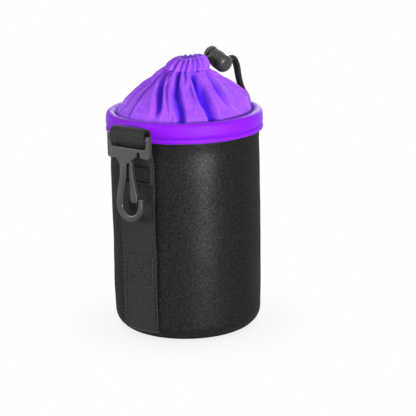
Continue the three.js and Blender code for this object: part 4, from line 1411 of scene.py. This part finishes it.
class SetStage(bpy.types.Operator):
    """Sets the floor, the background and the soft studio lights"""

    bl_idname = "pouch.stage"
    bl_label = "Stage"

    # Each light's name, place, panel in metres and watts
    LIGHTS = (
        ("key light", (1.1, -0.5, 0.12), (0.3, 0.2), 17),
        ("left light", (-0.8, -0.9, 0.32), (0.5, 0.55), 9),
        ("front light", (0.45, -0.6, 1.0), (0.7, 0.5), 4),
        ("back light", (-0.55, 1.05, 0.5), (0.6, 0.5), 9),
    )
    LIGHT_AIM = 0.09  # height that the lights point at
    FLOOR_REACH = 4
    FLOOR_DROP = 0.0002  # below the base
    PAINTED_SHADOW_REACH = 0.045
    SHADOW = 0.82  # the floor's white right beside the base, dimmed there as painted shadow
    WORLD_STRENGTHS = (0.2, 1.0)  # of the light on the pouch, and of the seen background

    def execute(self, context):
        scene = context.scene
        floor = self.build_floor(scene)
        lamps = [self.lamp(scene, *light) for light in self.LIGHTS]
        self.light_world(scene)
        scene.view_settings.view_transform = "Standard"
        return {"FINISHED"}

    def build_floor(self, scene):
        """A floor that looks white, with the pouch's soft shadow painted into its white glow beside the
        base.
        """
        mesh = bpy.data.meshes.new("floor")
        far = self.FLOOR_REACH
        corners = [(-far, -far, 0), (far, -far, 0), (far, far, 0), (-far, far, 0)]
        mesh.from_pydata(corners, [], [(0, 1, 2, 3)])
        floor = bpy.data.objects.new("floor", mesh)
        floor.location.z = -self.FLOOR_DROP
        scene.collection.objects.link(floor)
        finish = Finish("floor")
        haze = finish.grain("Object", 3.0)
        grey = finish.mixed(haze, (0.2, 0.2, 0.2), (0.23, 0.23, 0.23))
        finish.paint(grey, finish.between(haze, 0.7, 0.8))
        # Painted shadow: ambient occlusion dims the floor's white glow beside the pouch
        reach = {"Distance": self.PAINTED_SHADOW_REACH}
        open_sky = finish.add("ShaderNodeAmbientOcclusion", reach, samples=8).outputs["AO"]
        glow = {"Strength": finish.between(open_sky, self.SHADOW, 1.0)}
        white = finish.add("ShaderNodeEmission", glow).outputs["Emission"]
        finish.show_white(finish.shader.outputs["BSDF"], white, finish.output)
        mesh.materials.append(finish.material)
        return floor

    def lamp(self, scene, name, place, panel, power):
        data = bpy.data.lights.new(name, "AREA")
        data.shape = "RECTANGLE"
        data.size, data.size_y = panel
        data.energy = power
        lamp = bpy.data.objects.new(name, data)
        lamp.location = place
        aim = UP * self.LIGHT_AIM - Vector(place)
        lamp.rotation_mode = "QUATERNION"
        lamp.rotation_quaternion = aim.to_track_quat("-Z", "Y")
        scene.collection.objects.link(lamp)
        return lamp

    def light_world(self, scene):
        world = bpy.data.worlds.new("studio")
        world.use_nodes = True
        nodes = Nodes(world.node_tree)
        glows = []
        for strength in self.WORLD_STRENGTHS:
            values = {"Color": (1, 1, 1, 1), "Strength": strength}
            glows.append(nodes.add("ShaderNodeBackground", values).outputs["Background"])
        nodes.show_white(*glows, nodes.add("ShaderNodeOutputWorld"))
        scene.world = world


class PouchPanel(bpy.types.Panel):
    """Lists the pieces, sizes and colours of the pouch"""

    bl_idname = "VIEW3D_PT_pouch"
    bl_label = "Lens Pouch"
    bl_space_type = "VIEW_3D"
    bl_region_type = "UI"
    bl_category = "Pouch"

    def draw(self, context):
        scene = context.scene
        layout = self.layout
        for operator in OPERATORS:
            layout.operator(operator.bl_idname)
        for group, values in ((PouchSizes, scene.pouch_sizes), (PouchColours, scene.pouch_colours)):
            box = layout.box()
            for name in group.__annotations__:
                box.prop(values, name)


OPERATORS = (
    BuildCamera,
    BuildCord,
    BuildBody,
    BuildRim,
    BuildCollar,
    BuildLock,
    BuildStrap,
    BuildHook,
    SetStage,
)
CLASSES = (PouchSizes, PouchColours, *OPERATORS, PouchPanel)


def register():
    for item in CLASSES:
        bpy.utils.register_class(item)
    bpy.types.Scene.pouch_sizes = bpy.props.PointerProperty(type=PouchSizes)
    bpy.types.Scene.pouch_colours = bpy.props.PointerProperty(type=PouchColours)


def unregister():
    del bpy.types.Scene.pouch_colours
    del bpy.types.Scene.pouch_sizes
    for item in reversed(CLASSES):
        bpy.utils.unregister_class(item)


def main():
    register()
    bpy.ops.pouch.camera()
    bpy.ops.pouch.cord()
    bpy.ops.pouch.body()
    bpy.ops.pouch.rim()
    bpy.ops.pouch.collar()
    bpy.ops.pouch.lock()
    bpy.ops.pouch.strap()
    bpy.ops.pouch.hook()
    bpy.ops.pouch.stage()


if __name__ == "__main__":
    main()
